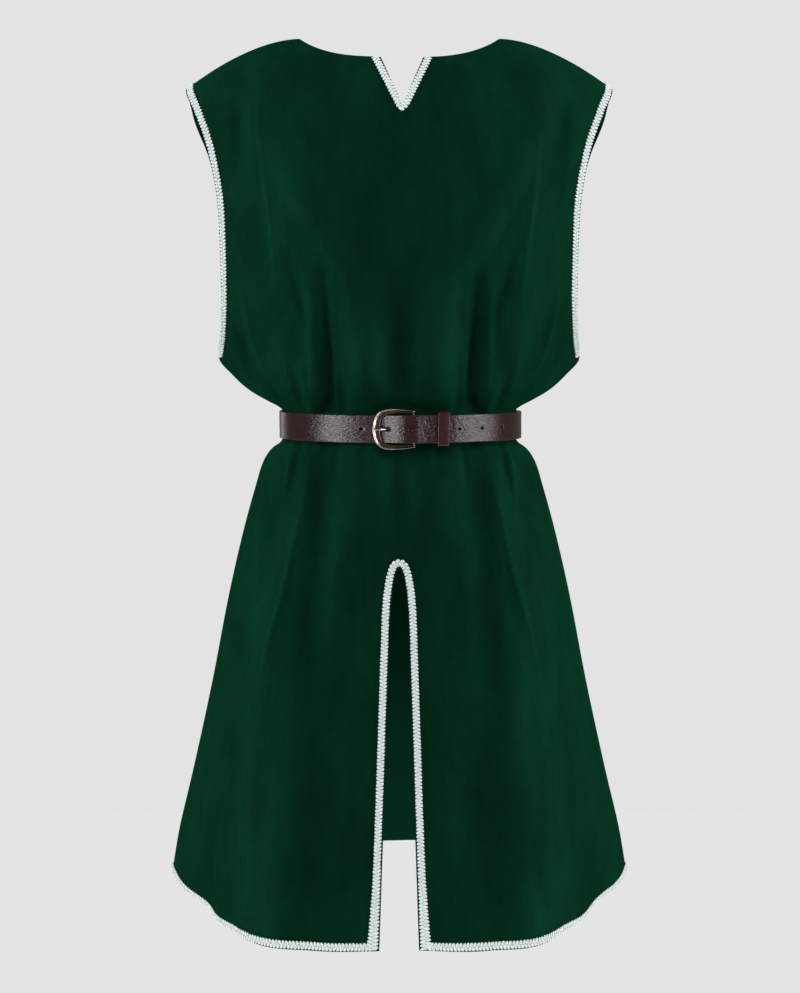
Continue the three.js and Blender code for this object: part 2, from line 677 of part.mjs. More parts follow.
// ---------------------------------------------------------------- buckle
function buckleFrame() {
  const lower = FRAME_LINE.slice(0, -1).reverse().map((row) => ({ ...row, up: -row.up }));
  const line = [...FRAME_LINE, ...lower];
  const curve = new THREE.CatmullRomCurve3(
    line.map(({ along, up, width }) => new THREE.Vector3(along, up, width)), false, 'centripetal',
  );
  const samples = curve.getPoints(FRAME.steps);
  const [end, rim] = [FRAME_LINE[0], FRAME_LINE.at(-1)];
  const rings = samples.map(({ x: along, y: up, z: width }, i) => {
    const [before, after] = [samples[Math.max(i - 1, 0)], samples[Math.min(i + 1, samples.length - 1)]];
    const out = new THREE.Vector2(after.y - before.y, before.x - after.x).normalize();
    const lift = lerp(FRAME.rimLift, FRAME.barLift, (along - rim.along) / (end.along - rim.along));
    const thick = lerp(FRAME.thin, FRAME.thick, width / rim.width);
    return [[1, -0.5], [0.6, -1], [-0.6, -1], [-1, -0.5], [-1, 0.5], [-0.6, 1], [0.6, 1], [1, 0.5]].map(
      ([side, rise]) => onBelt(
        along + out.x * side * width / 2, up + out.y * side * width / 2, lift + rise * thick / 2,
      ),
    );
  });
  const bar = new THREE.CylinderGeometry(BAR.radius, BAR.radius, 2 * BAR.half, FACETS.bar);
  return geometryOf(solid(loft(rings)).add(solid(placed(bar, BAR.along, 0, BAR.lift))));
}

function buckleProng() {
  const half = PRONG.thick / 2;
  const tip = PRONG_LINE.at(-1).along;
  const line = PRONG_LINE.map(({ along, lift }) => new THREE.Vector3(along, lift, 0));
  const curve = new THREE.CatmullRomCurve3(line);
  const shank = curve.getPoints(FACETS.shank).map(({ x: along, y: lift }) => ({
    along, lift, half: half * (along - tip < PRONG.tipLength ? PRONG.tipShare : 1),
  }));
  const [inner, outer] = [PRONG.ringInner, PRONG.ringOuter];
  const profile = [[inner, -half], [outer, -half], [outer, half], [inner, half], [inner, -half]];
  const eye = new THREE.LatheGeometry(profile.map(([x, y]) => new THREE.Vector2(x, y)), FACETS.eye);
  return geometryOf(solid(band(shank, PRONG.thick)).add(solid(placed(eye, BAR.along, 0, BAR.lift))));
}

// ---------------------------------------------------------------- the object
const cloth = { color: 0x062e1d, roughness: 0.75, metalness: 0 };
const braid = { color: 0xdfe6e2, roughness: 0.8, metalness: 0 };
const leather = { color: 0x321d1f, roughness: 0.42, metalness: 0 };
const metal = { color: 0xcfc4ae, roughness: 0.22, metalness: 1 };

const PIECES = [
  ['front_bodice', bodice(front), cloth],
  ['front_skirt', skirt(front), cloth],
  ['back_bodice', bodice(back), cloth],
  ['back_skirt', skirt(back), cloth],
  ['neck_notch_trim', openingBraid(NOTCH_ROW, LAST_ROW), braid],
  ['slit_trim', openingBraid(0, SLIT_ROW), braid],
  ['armhole_trim_left', armholeBraid('left'), braid],
  ['armhole_trim_right', armholeBraid('right'), braid],
  ['hem_trim_front_left', frontHemBraid('left'), braid],
  ['hem_trim_front_right', frontHemBraid('right'), braid],
  ['hem_trim_back', braidWall(bothHalves(back, 0, 1, LAST_COLUMN)), braid],
  ['belt_strap', beltStrap(), leather],
  ['belt_keeper', beltKeeper(), leather],
  ['buckle_frame', buckleFrame(), metal],
  ['buckle_prong', buckleProng(), metal],
];

const surcoat = new THREE.Group();
for (const [name, geometry, look] of PIECES) {
  geometry.computeVertexNormals();
  const mesh = new THREE.Mesh(geometry, new THREE.MeshStandardMaterial(look));
  mesh.name = name;
  surcoat.add(mesh);
}

export default surcoat;
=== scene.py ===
"""Looks of a sleeveless, belted surcoat of the medieval kind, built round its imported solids."""
import math

import bmesh
import bpy
import numpy as np
from mathutils.kdtree import KDTree
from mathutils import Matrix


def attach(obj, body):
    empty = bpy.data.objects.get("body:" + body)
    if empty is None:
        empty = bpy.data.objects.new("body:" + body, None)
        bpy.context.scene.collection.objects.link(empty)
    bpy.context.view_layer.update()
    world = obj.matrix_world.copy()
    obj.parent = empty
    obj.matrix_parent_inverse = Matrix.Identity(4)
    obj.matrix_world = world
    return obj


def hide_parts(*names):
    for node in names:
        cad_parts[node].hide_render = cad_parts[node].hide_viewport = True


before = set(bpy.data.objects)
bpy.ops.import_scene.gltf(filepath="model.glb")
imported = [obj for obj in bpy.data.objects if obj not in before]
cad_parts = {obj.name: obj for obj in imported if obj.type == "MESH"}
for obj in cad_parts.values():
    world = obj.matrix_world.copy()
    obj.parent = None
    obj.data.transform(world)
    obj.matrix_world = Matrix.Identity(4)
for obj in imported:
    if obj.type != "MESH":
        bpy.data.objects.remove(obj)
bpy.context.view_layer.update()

# Lengths are in millimetres until a mesh is made. +Z is up, the front faces -Y, +X is the wearer's left.
MM = 0.001

# ---------------------------------------------------------------- camera
CAMERA = {"place": (0.0009, -1.8, -0.3136), "tilt": 83.526, "lens": 56.39, "sensor": 36}


def add_camera():
    data = bpy.data.cameras.new("camera")
    data.lens = CAMERA["lens"]
    data.sensor_width = CAMERA["sensor"]
    data.clip_end = 40
    camera = bpy.data.objects.new("camera", data)
    camera.location = CAMERA["place"]
    camera.rotation_euler = (math.radians(CAMERA["tilt"]), 0, 0)
    bpy.context.scene.collection.objects.link(camera)
    bpy.context.scene.camera = camera


add_camera()

# ---------------------------------------------------------------- driving dimensions, as in the solids
HEM = -993
ARMPIT = -356
NECK_HALF = 112.7
TIP_HALF = 240
TIP_DROP = 55
SHOULDER_BEND = 1.7
NECK_RISE = 8
SHOULDER_ROUND = 110
CLOTH = 1.5
GAP = 0.3
NECKLINES = {"front": (28.2, 3.2, 0.85), "back": (67, 2.2, 0.8)}
NOTCH = {"low": -83.8, "outer_low": -90.6, "half": 23.5, "outer_half": 32.2}
NOTCH_LEAN = {"shift": 3.5, "reach": 100, "low": -140}
SLIT = {"top": -582, "outer_top": -570.6, "half": 8.1, "outer_half": 16.4, "flare": 0.0335}
SLIT_ARCH = {"inner": 60, "outer": 45}
CENTRE_COLUMN = 6
STRIP = {"hem": 9.5, "armhole": 10}
BELT = {"z": -432, "height": 30.5, "thick": 2.4}
BAR = {"along": 16, "lift": 5.45, "radius": 1.5, "half": 18}
FRAME = {"thick": 3.6, "thin": 2.6, "bar_lift": 5.9, "rim_lift": 6.7}
PRONG = {"thick": 2.4, "ring_inner": 1.8, "ring_outer": 3.1, "at": -14.5, "edge": 0.4}
KEEPER = {"from": 41, "to": 53, "thick": 1.8, "inner": 1.25, "outer": 10.8, "spare": 2}
HOLE = {"radius": 1.5, "spacing": 26.5, "places": (-1, 1, 2, 3, 4, 5), "corners": 20, "reach": 1.9}
PRONG_SLOT = {"shift": 0.6, "lift": 3.9, "radius": 1.75, "reach": 3.4, "half": 4}


class Table:
    """Rows of given numbers. Each column is a smooth curve over the first one and never overshoots."""

    def __init__(self, names, rows):
        values = np.array(rows, float)
        self.rows = values
        self.at = values[:, 0]
        self.columns = {name: values[:, i] for i, name in enumerate(names.split())}
        self.tangents = {name: self.tangents_of(column) for name, column in self.columns.items()}

    def tangents_of(self, column):
        gaps = np.diff(self.at)
        slopes = np.diff(column) / gaps
        made = np.zeros(len(column))
        made[0] = slopes[0]
        made[-1] = slopes[-1]
        for i in range(1, len(column) - 1):
            before, after = slopes[i - 1], slopes[i]
            if before * after > 0:
                a = 2 * gaps[i] + gaps[i - 1]
                b = gaps[i] + 2 * gaps[i - 1]
                made[i] = (a + b) / (a / before + b / after)
        return made

    def read(self, name, at):
        at = np.clip(at, self.at[0], self.at[-1])
        i = np.clip(np.searchsorted(self.at, at, side="right") - 1, 0, len(self.at) - 2)
        h = self.at[i + 1] - self.at[i]
        t = (at - self.at[i]) / h
        v = self.columns[name]
        m = self.tangents[name]
        start = (1 + 2 * t) * (1 - t) ** 2 * v[i] + t * (1 - t) ** 2 * h * m[i]
        return start + t * t * (3 - 2 * t) * v[i + 1] + t * t * (t - 1) * h * m[i + 1]


# Levels of the garment: half widths, depths of the edges and of the middles, and how full the curve is.
SECTIONS = Table("z half half_back edge edge_back front back power bow power_back bow_back", [
    (-993, 281.5, 281.5, 72, 72, 186, 181, 3.4, 0.93, 2.6, 0.75),
    (-938, 270.5, 270.5, 58, 58, 177, 173, 3.3, 0.86, 2.6, 0.74),
    (-859, 250.6, 250.6, 45, 45, 165, 164, 3.2, 0.82, 2.6, 0.72),
    (-743, 223.2, 223.2, 28, 28, 147, 152, 3.1, 0.76, 2.5, 0.68),
    (-630, 199, 199, 10, 10, 129, 139, 2.9, 0.68, 2.4, 0.62),
    (-557, 180.8, 180.8, -1, -1, 119, 124, 2.7, 0.6, 2.3, 0.56),
    (-503, 165, 165, -10, -10, 111, 103, 2.5, 0.56, 2.3, 0.53),
    (-476, 156, 156, -15, -15, 107, 86, 2.4, 0.52, 2.2, 0.52),
    (-461, 146.5, 146.5, -18, -18, 102.3, 74, 2.3, 0.5, 2.2, 0.5),
    (-450, 133.4, 133.4, -20, -20, 101.5, 68, 2.2, 0.5, 2.2, 0.5),
    (-414, 133.4, 133.4, -20, -20, 101.5, 68, 2.2, 0.5, 2.2, 0.5),
    (-407, 146, 146, -18, -18, 102.3, 76, 2.3, 0.56, 2.3, 0.56),
    (-393.4, 171, 171, -12, -12, 110, 92, 2.3, 0.7, 2.3, 0.7),
    (-376.5, 190.6, 190.6, -6, -6, 117.5, 99, 2.2, 0.86, 2.2, 0.86),
    (-356, 207.3, 207.3, 0, 0, 121, 103, 2.2, 1, 2.2, 1),
    (-325, 202.4, 204.5, -24, 24, 120, 107, 2.2, 1, 2.2, 1),
    (-280, 199.2, 202.5, -42, 40, 117, 111, 2.2, 1, 2.2, 1),
    (-200, 200.8, 207, -44, 46, 107, 112, 2.2, 1, 2.2, 1),
    (-130, 211.5, 220, -40, 42, 95, 102, 2.2, 1, 2.2, 1),
    (-80, 229.8, 236.8, -36, 38, 84, 91, 2.2, 1, 2.2, 1),
    (-55, TIP_HALF, TIP_HALF, -34, 36, 79, 86, 2.2, 1, 2.2, 1),
    (NECK_RISE, TIP_HALF, TIP_HALF, -30, 32, 72, 78, 2.2, 1, 2.2, 1),
])

# Folds: side, the levels of top, peak and low end, the half width of the fold, its height outward at the
# peak on the left and the right, 2 for a round crest or 1 for a sharp one, and points (level, distance from
# the middle) of its line.
FOLDS = [
    # Chest: ridges from the shoulder tips, one thin and straight down, one broad and in towards the belt.
    ("front", -60, -180, -340, 7, 1.6, 1.4, 1, ((-304, 133), (-176, 147), (-82, 157))),
    ("front", -62, -190, -340, 28, 4.2, 4, 2, ((-340, 40), (-277, 56), (-203, 97), (-95, 157))),
    ("front", -66, -105, -160, 17, -4, -3.4, 2, ((-160, 172), (-66, 179))),
    ("front", -90, -190, -300, 60, -3, -3, 2, ((-300, 0), (-90, 0))),
    ("front", -200, -300, -385, 12, -3, -2.6, 2, ((-385, 94), (-318, 99), (-277, 112), (-223, 128))),
    ("front", -300, -350, -412, 24, 3, 3.4, 2, ((-412, 112), (-350, 126), (-300, 132))),
    # Chest: the two deep folds that run down behind the belt, their lips, and the trough between them.
    ("front", -225, -392, -470, 12, -13, -12, 2, ((-470, 79), (-412, 83), (-330, 84), (-244, 81))),
    ("front", -235, -388, -460, 25, -7, -7, 2, ((-460, 70), (-412, 75), (-330, 77), (-244, 78))),
    ("front", -250, -370, -420, 9, 4, 3.6, 1, ((-420, 93), (-385, 96), (-320, 99), (-265, 101))),
    ("front", -235, -375, -420, 28, 8, 7.6, 2, ((-420, 35), (-330, 39), (-240, 50))),
    ("front", -225, -368, -425, 26, -5, -5, 2, ((-425, 0), (-225, 0))),
    # Chest: cloth drawn in from the armpit, and small pleats where the belt gathers it.
    ("front", -262, -350, -414, 9, 4, 3.6, 1, ((-406, 131), (-344, 164), (-277, 177))),
    ("front", -300, -362, -412, 13, -4, -3.6, 2, ((-405, 140), (-375, 167), (-328, 182))),
    ("front", -340, -392, -424, 7, -3, -3.4, 2, ((-424, 106), (-392, 113), (-340, 125))),
    ("front", -345, -396, -424, 7, 2, 2.2, 1, ((-424, 98), (-396, 103), (-345, 110))),
    ("front", -352, -396, -424, 7, -3.2, -2.8, 2, ((-424, 122), (-396, 138), (-352, 160))),
    ("front", -360, -402, -424, 8, -1.8, -1.4, 2, ((-424, 61), (-360, 65))),
    ("front", -372, -408, -424, 8, -1.6, -1.2, 2, ((-424, 27), (-372, 31))),
    # Skirt: the dark hollow and the sharp ridge outside it that run out and down from the belt.
    ("front", -436, -520, -800, 25, -6.4, -5.6, 2, ((-780, 104), (-613, 93), (-532, 86), (-451, 83))),
    ("front", -450, -590, -770, 26, 3.2, 4, 2, ((-750, 172), (-667, 150), (-546, 119), (-485, 106))),
    (
        "front", -440, -640, -765, 7, 3.4, 3, 1,
        ((-721, 158), (-667, 145), (-620, 132), (-546, 114), (-460, 98)),
    ),
    ("front", -540, -690, -860, 52, -3.4, -3, 2, ((-860, 100), (-540, 92))),
    ("front", -436, -466, -525, 9, -4.2, -3.8, 2, ((-525, 123), (-451, 113))),
    ("front", -447, -474, -540, 7, 2.6, 3, 1, ((-540, 134), (-455, 121))),
    ("front", -446, -480, -560, 22, -5, -4, 2, ((-560, 150), (-480, 141), (-446, 123))),
    ("front", -440, -488, -575, 32, 5.5, 5, 2, ((-575, 38), (-446, 35))),
    ("front", -438, -492, -570, 22, -3, -3, 2, ((-570, 0), (-438, 0))),
    ("front", -440, -458, -500, 8, -2, -1.6, 2, ((-500, 42), (-440, 38))),
    ("front", -440, -458, -505, 7, -1.8, -2.2, 2, ((-505, 74), (-440, 68))),
    ("front", -560, -650, -780, 16, 2, 1.8, 2, ((-780, 42), (-560, 32))),
    # Skirt: the wide, shallow waves of its lower part.
    ("front", -700, -880, -1020, 50, -6, -6.5, 2, ((-990, 86), (-700, 104))),
    ("front", -700, -850, -1010, 26, 4, 3.6, 2, ((-990, 172), (-700, 164))),
    ("front", -620, -760, -900, 24, -2.6, -3, 2, ((-900, 206), (-620, 172))),
    ("front", -830, -993, -1160, 55, 7, 8, 2, ((-990, 148), (-830, 142))),
    ("front", -780, -993, -1210, 60, -8, -7, 2, ((-990, 234), (-780, 206))),
    # Back, above the belt.
    ("back", -150, -388, -470, 18, -12, -13, 2, ((-470, 63), (-385, 78), (-150, 77))),
    ("back", -240, -360, -414, 24, 6, 5, 2, ((-414, 93), (-360, 128), (-240, 128))),
    ("back", -60, -190, -330, 10, 2.4, 2.8, 1, ((-330, 135), (-190, 139), (-60, 165))),
    ("back", -64, -200, -350, 28, 3.6, 3.8, 2, ((-350, 45), (-210, 96), (-64, 158))),
    ("back", -120, -320, -430, 30, -4.4, -4.4, 2, ((-430, 0), (-120, 0))),
    ("back", -170, -340, -425, 20, 3.4, 2.6, 2, ((-425, 27), (-330, 36), (-170, 38))),
    ("back", -280, -350, -405, 10, 3.6, 4, 1, ((-405, 125), (-350, 171), (-280, 185))),
    ("back", -310, -378, -415, 13, -3.6, -3.2, 2, ((-415, 109), (-380, 146), (-310, 168))),
    ("back", -340, -398, -424, 8, 2.6, 2.2, 1, ((-424, 98), (-340, 113))),
    ("back", -350, -400, -424, 7, -2.6, -3, 2, ((-424, 110), (-350, 124))),
    ("back", -360, -404, -424, 8, -2, -1.6, 2, ((-424, 44), (-360, 52))),
    # Back, below the belt.
    ("back", -436, -482, -720, 24, -9, -10, 2, ((-700, 91), (-480, 77), (-436, 66))),
    ("back", -446, -580, -810, 28, 8, 7, 2, ((-800, 155), (-570, 125), (-446, 89))),
    ("back", -460, -600, -760, 10, 3, 3.4, 1, ((-760, 150), (-600, 129), (-460, 93))),
    ("back", -438, -464, -530, 9, -3.4, -3.8, 2, ((-530, 120), (-438, 104))),
    ("back", -445, -468, -540, 8, 2.4, 2.8, 1, ((-540, 132), (-445, 112))),
    ("back", -445, -463, -540, 11, -2.8, -2.4, 2, ((-540, 147), (-445, 122))),
    ("back", -440, -460, -520, 9, 2, 2.4, 2, ((-520, 48), (-440, 42))),
    ("back", -440, -458, -500, 9, -1.8, -1.4, 2, ((-500, 22), (-440, 18))),
    ("back", -520, -680, -860, 22, 3.4, 3, 2, ((-860, 40), (-520, 34))),
    ("back", -560, -760, -960, 50, -4, -4, 2, ((-960, 0), (-560, 0))),
    ("back", -600, -800, -1040, 44, 4.6, 4, 2, ((-990, 216), (-800, 193), (-600, 167))),
    ("back", -640, -993, -1250, 62, -9, -7, 2, ((-990, 75), (-640, 67))),
]
# Under the belt the cloth may only go inward, and not far; above and below it the limits fall away.
BELTED = {"reach": 13, "deepest": -3.5, "inward": 0.6, "outward": 0.4, "from": 17}

FOLD_SHIFT = 1.2
# The unevenness fades out over this much cloth at the side seams. It starts this far off the belt's middle
# and is full after this much more.
WAVES_FADE = {"seam": 40, "belt": 20, "over": 50}

# Broad unevenness of the cloth: how many waves, their mean height, and their lengths across and down.
WAVES = {"count": 26, "height": 0.75, "across": (55, 170), "down": (110, 420), "seed": 14}
# The hem rises a little beside the slit.
HEM_RISE = {"height": 2.8, "reach": 95, "from": -940}
# Towards the side seams its edge curls in.
HEM_CURL = {"inward": 3.4, "reach": 12, "from": 0.45, "to": 0.8}
# The brushed face's colour holds painted light: lighter where the cloth turns to the side (painted sheen)
# and on ridges and sharp crests (painted highlights), darker down in the folds (painted shade).
PAINTED_LIGHT = {"sideways": 0.54, "turned": 0.75, "ridge": 0.2, "high": 7, "crest": 0.66, "fold": 0.5, "deep": 12}


# ---------------------------------------------------------------- the garment's surface
# Share of the half width over which the cloth's slope is taken.
SLOPE_STEP = 0.004


def bump(t):
    return np.where(np.abs(t) < 1, (1 - t * t) ** 2, 0)


def shoulder(x):
    """Height of the shoulder at x; between the neck points it is where the shoulder would run on."""
    across = np.abs(x)
    run_on = NECK_RISE * (1 - (across / NECK_HALF) ** 2)
    past = np.maximum(across - NECK_HALF, 0) / (TIP_HALF - NECK_HALF)
    return np.where(across < NECK_HALF, run_on, -TIP_DROP * past ** SHOULDER_BEND)


def upper_edge(side, x):
    """Height of the upper edge at x: the neckline, then the shoulder seam."""
    drop, power, bow = NECKLINES[side]
    neckline = -drop * np.maximum(0, 1 - (x / NECK_HALF) ** power) ** bow
    return np.where(x >= NECK_HALF, shoulder(x), neckline)


def over_shoulder(below):
    """Share of the full depth that the cloth has reached at this distance below the shoulder."""
    return np.sqrt(1 - (1 - np.clip(below / SHOULDER_ROUND, 0, 1)) ** 2)


def half_width(side, z):
    return SECTIONS.read("half" if side == "front" else "half_back", z)


def depth(side, u, x, z):
    """Depth (y) of the smooth form at u, the share of the half width, and height z."""
    tail = "" if side == "front" else "_back"
    edge = SECTIONS.read("edge" + tail, z)
    middle = -SECTIONS.read("front", z) if side == "front" else SECTIONS.read("back", z)
    power = SECTIONS.read("power" + tail, z)
    bow = SECTIONS.read("bow" + tail, z)
    full = edge + (middle - edge) * np.maximum(0, 1 - u ** power) ** bow
    return np.where(z > ARMPIT, full * over_shoulder(shoulder(x) - z), full)


class Girths:
    """Distances along the cloth from a side's middle, over its levels and shares u of its half width."""

    steps = 160
    rise = 3
    beyond = 9

    def __init__(self, side):
        self.levels = np.arange(HEM - self.beyond, NECK_RISE + self.beyond, self.rise, dtype=float)
        self.u = np.sin(np.linspace(0, math.pi / 2, self.steps + 1))
        z = self.levels[:, None]
        x = self.u[None, :] * half_width(side, z)
        y = depth(side, self.u[None, :], x, z)
        lengths = np.hypot(np.diff(x, axis=1), np.diff(y, axis=1))
        self.along = np.concatenate([np.zeros((len(z), 1)), np.cumsum(lengths, axis=1)], axis=1)

    def width(self, z):
        """Width of the cloth from middle to edge at a level."""
        return np.interp(z, self.levels, self.along[:, -1])

    def share(self, u, z):
        """Share of the cloth's width at u, by interpolation between the levels and the steps."""
        place = np.clip((z - self.levels[0]) / self.rise, 0, len(self.levels) - 1.001)
        row = place.astype(int)
        t = place - row
        step = np.clip(np.arcsin(np.clip(u, 0, 1)) / (math.pi / 2) * self.steps, 0, self.steps - 1e-6)
        column = step.astype(int)
        start, end = self.u[column], self.u[column + 1]
        s = (u - start) / (end - start)
        lower = self.along[row, column] * (1 - s) + self.along[row, column + 1] * s
        upper = self.along[row + 1, column] * (1 - s) + self.along[row + 1, column + 1] * s
        total = self.along[row, -1] * (1 - t) + self.along[row + 1, -1] * t
        return (lower * (1 - t) + upper * t) / total

    def unrolled(self, share, z):
        """The share u of the half width at these shares of the cloth's own width, at one level."""
        place = (z - self.levels[0]) / self.rise
        row = min(int(place), len(self.levels) - 2)
        t = place - row
        along = self.along[row] * (1 - t) + self.along[row + 1] * t
        return np.interp(np.asarray(share) * along[-1], along, self.u)


GIRTHS = {side: Girths(side) for side in ("front", "back")}


def wave_height(side, along, z):
    """Broad unevenness of one side at a signed distance along the cloth, gone at the seams and the belt."""
    random = np.random.default_rng(WAVES["seed"] + (side == "back"))
    height = np.zeros(np.broadcast(along, z).shape)
    for _ in range(WAVES["count"]):
        across = math.tau / random.uniform(*WAVES["across"]) * random.choice([-1, 1])
        down = math.tau / random.uniform(*WAVES["down"])
        height = height + np.sin(along * across + z * down + random.uniform(0, math.tau))
    return height * WAVES["height"] / math.sqrt(WAVES["count"])


def fold_height(side, x_sign, u, z):
    """Outward height of folds and unevenness at shares u of the half width, for one hand of a side, and how
    near each place is to the crest of a sharp ridge."""
    girths = GIRTHS[side]
    width = girths.width(z)
    half_across = half_width(side, z)
    share = girths.share(u, z)
    height = np.zeros(share.shape)
    crested = np.zeros(share.shape)
    for of_side, top, peak, low, half, left, right, crest, line in FOLDS:
        if of_side != side:
            continue
        x = Table("z x", line).read("x", z)
        x = np.where(x > 0, x + x_sign * FOLD_SHIFT, 0)
        middle = girths.share(np.minimum(x / half_across, 1), z)
        reach = np.where(z > peak, top - peak, peak - low)
        across = np.minimum(np.abs(share - middle) * width / half, 1)
        profile = (1 - across * across) ** 2 if crest == 2 else (1 - across) ** 2
        strength = profile * bump((z - peak) / reach) * ((z < top) & (z > low))
        height = height + np.where(x_sign < 0, left, right) * strength
        if crest == 1:
            crested = np.maximum(crested, strength * profile)
    off_belt = np.abs(z - BELT["z"])
    from_seam = np.clip((1 - share) * width / WAVES_FADE["seam"], 0, 1)
    free = from_seam * np.clip((off_belt - WAVES_FADE["belt"]) / WAVES_FADE["over"], 0, 1)
    height = height + wave_height(side, x_sign * share * width, z) * free * free * (3 - 2 * free)
    lowest = BELTED["deepest"] - BELTED["inward"] * np.maximum(0, off_belt - BELTED["reach"])
    highest = BELTED["outward"] * np.maximum(0, off_belt - BELTED["from"])
    limit = np.where(height < 0, -lowest, np.maximum(highest, 0.01))
    return height / (1 + (np.abs(height) / limit) ** 4) ** 0.25, crested


def surface(side, x_sign, u, z):
    """Points of a side's middle surface at shares u of the half width and levels z, with the height of its
    folds and the nearness of a crest there."""
    u, z = np.broadcast_arrays(np.asarray(u, float), np.asarray(z, float))
    half = half_width(side, z)
    x = u * half
    out = 1 if side == "front" else -1
    before = u - SLOPE_STEP
    after = np.minimum(1, u + SLOPE_STEP)
    run = (after - before) * half
    rise = depth(side, after, x, z) - depth(side, np.abs(before), x, z)
    length = np.hypot(run, rise)
    folds, crested = fold_height(side, x_sign, u, z)
    curled = np.clip((u - HEM_CURL["from"]) / (HEM_CURL["to"] - HEM_CURL["from"]), 0, 1)
    curled = curled * (1 - np.clip((u - HEM_CURL["to"]) / (1 - HEM_CURL["to"]), 0, 1) ** 2)
    low = np.clip((HEM + HEM_CURL["reach"] - z) / HEM_CURL["reach"], 0, 1)
    height = folds - HEM_CURL["inward"] * curled * curled * (3 - 2 * curled) * low * low
    y = depth(side, u, x, z) - out * height * run / length
    across = (x + out * height * rise / length) * x_sign
    if side == "front":
        sway = np.clip((z - NOTCH_LEAN["low"]) / (NOTCH["low"] - NOTCH_LEAN["low"]), 0, 1)
        across = across + NOTCH_LEAN["shift"] * bump(x / NOTCH_LEAN["reach"]) * sway
        low = np.clip((HEM_RISE["from"] - z) / (HEM_RISE["from"] - HEM), 0, 1)
        z = z + HEM_RISE["height"] * bump(x / HEM_RISE["reach"]) * low * low
    return np.stack([across, y, z], axis=-1), folds, crested


def cloth_points(side, x_sign, u, z):
    return surface(side, x_sign, u, z)[0]


def slit_half(z, outer):
    """Half width of the slit at a level, or of its braid's outer edge."""
    below = np.maximum(0, (SLIT["outer_top"] if outer else SLIT["top"]) - z)
    reach = SLIT_ARCH["outer" if outer else "inner"]
    arch = np.sqrt(1 - (1 - np.minimum(below / reach, 1)) ** 2)
    return (SLIT["outer_half"] if outer else SLIT["half"]) * arch + SLIT["flare"] * below


def notch_half(z, outer):
    """Half width of the notch at a level, or of its braid's outer edge."""
    low = NOTCH["outer_low" if outer else "low"]
    half = NOTCH["outer_half" if outer else "half"]
    return half * np.maximum(0, z - low) / (-NECKLINES["front"][0] - low)


# ---------------------------------------------------------------- the cloth as a fine grid
LOWER_LEVELS = (
    HEM, HEM + STRIP["hem"], -600, -587, SLIT["top"], -576.5, SLIT["outer_top"], -450,
    BELT["z"] - GAP / 2, BELT["z"] + GAP / 2, -414, ARMPIT, -125,
)
ROW_STEP = 4.2
TOP_ROWS = 40
STRIP_COLUMNS = 4
COLUMNS = {"to_neck": 30, "to_trim": 46}
NECK_COLUMN = (NECK_HALF - NOTCH["outer_half"]) / (TIP_HALF - NOTCH["outer_half"])
BASE = LOWER_LEVELS[-1]
# The innermost strip of cells widens over this height above the slit and below the notch.
OPENING = 20


def fine_levels():
    """The named levels, with rows in even steps between them."""
    made = [LOWER_LEVELS[0]]
    for start, end in zip(LOWER_LEVELS, LOWER_LEVELS[1:]):
        count = max(1, round((end - start) / ROW_STEP))
        made += list(np.linspace(start, end, count + 1)[1:])
    return np.array(made)


def climbs():
    """Shares of the height from the last level to the upper edge, closer to each other near the shoulder."""
    span = -NECKLINES["front"][0] - BASE
    corners = [(NOTCH["outer_low"] - BASE) / span, (NOTCH["low"] - BASE) / span]
    even = list(np.sin(np.linspace(0, math.pi / 2, TOP_ROWS + 1))[1:])
    kept = [t for t in even if min(abs(t - corner) for corner in corners) > 0.012]
    return np.array(sorted(kept + corners))


def inner_columns(side, z):
    """Distances from the middle of the two lines that the innermost strip lies between."""
    if side == "front" and z <= SLIT["outer_top"] + 1e-6:
        return float(slit_half(z, False)), float(slit_half(z, True))
    if side == "front" and z >= NOTCH["outer_low"] - 1e-6:
        return float(notch_half(z, False)), float(notch_half(z, True))
    if side == "back":
        return 0, CENTRE_COLUMN
    opening = min((z - SLIT["outer_top"]) / OPENING, (NOTCH["outer_low"] - z) / OPENING, 1)
    return 0, CENTRE_COLUMN * opening


LEVELS = fine_levels()
CLIMBS = climbs()
SEAM_ROW = int(np.argmin(np.abs(LEVELS - LOWER_LEVELS[8])))
ARMPIT_ROW = int(np.argmin(np.abs(LEVELS - ARMPIT)))
TRIM_COLUMN = STRIP_COLUMNS + COLUMNS["to_neck"] + COLUMNS["to_trim"]


def columns_between(first, second, trim):
    """Places across half a side: fine cells in the strips at both ends and even cells between them."""
    neck = second + (1 - second) * NECK_COLUMN
    parts = [
        np.linspace(first, second, STRIP_COLUMNS + 1),
        np.linspace(second, neck, COLUMNS["to_neck"] + 1)[1:],
        np.linspace(neck, trim, COLUMNS["to_trim"] + 1)[1:],
        np.linspace(trim, 1, STRIP_COLUMNS + 1)[1:],
    ]
    return np.concatenate(parts)


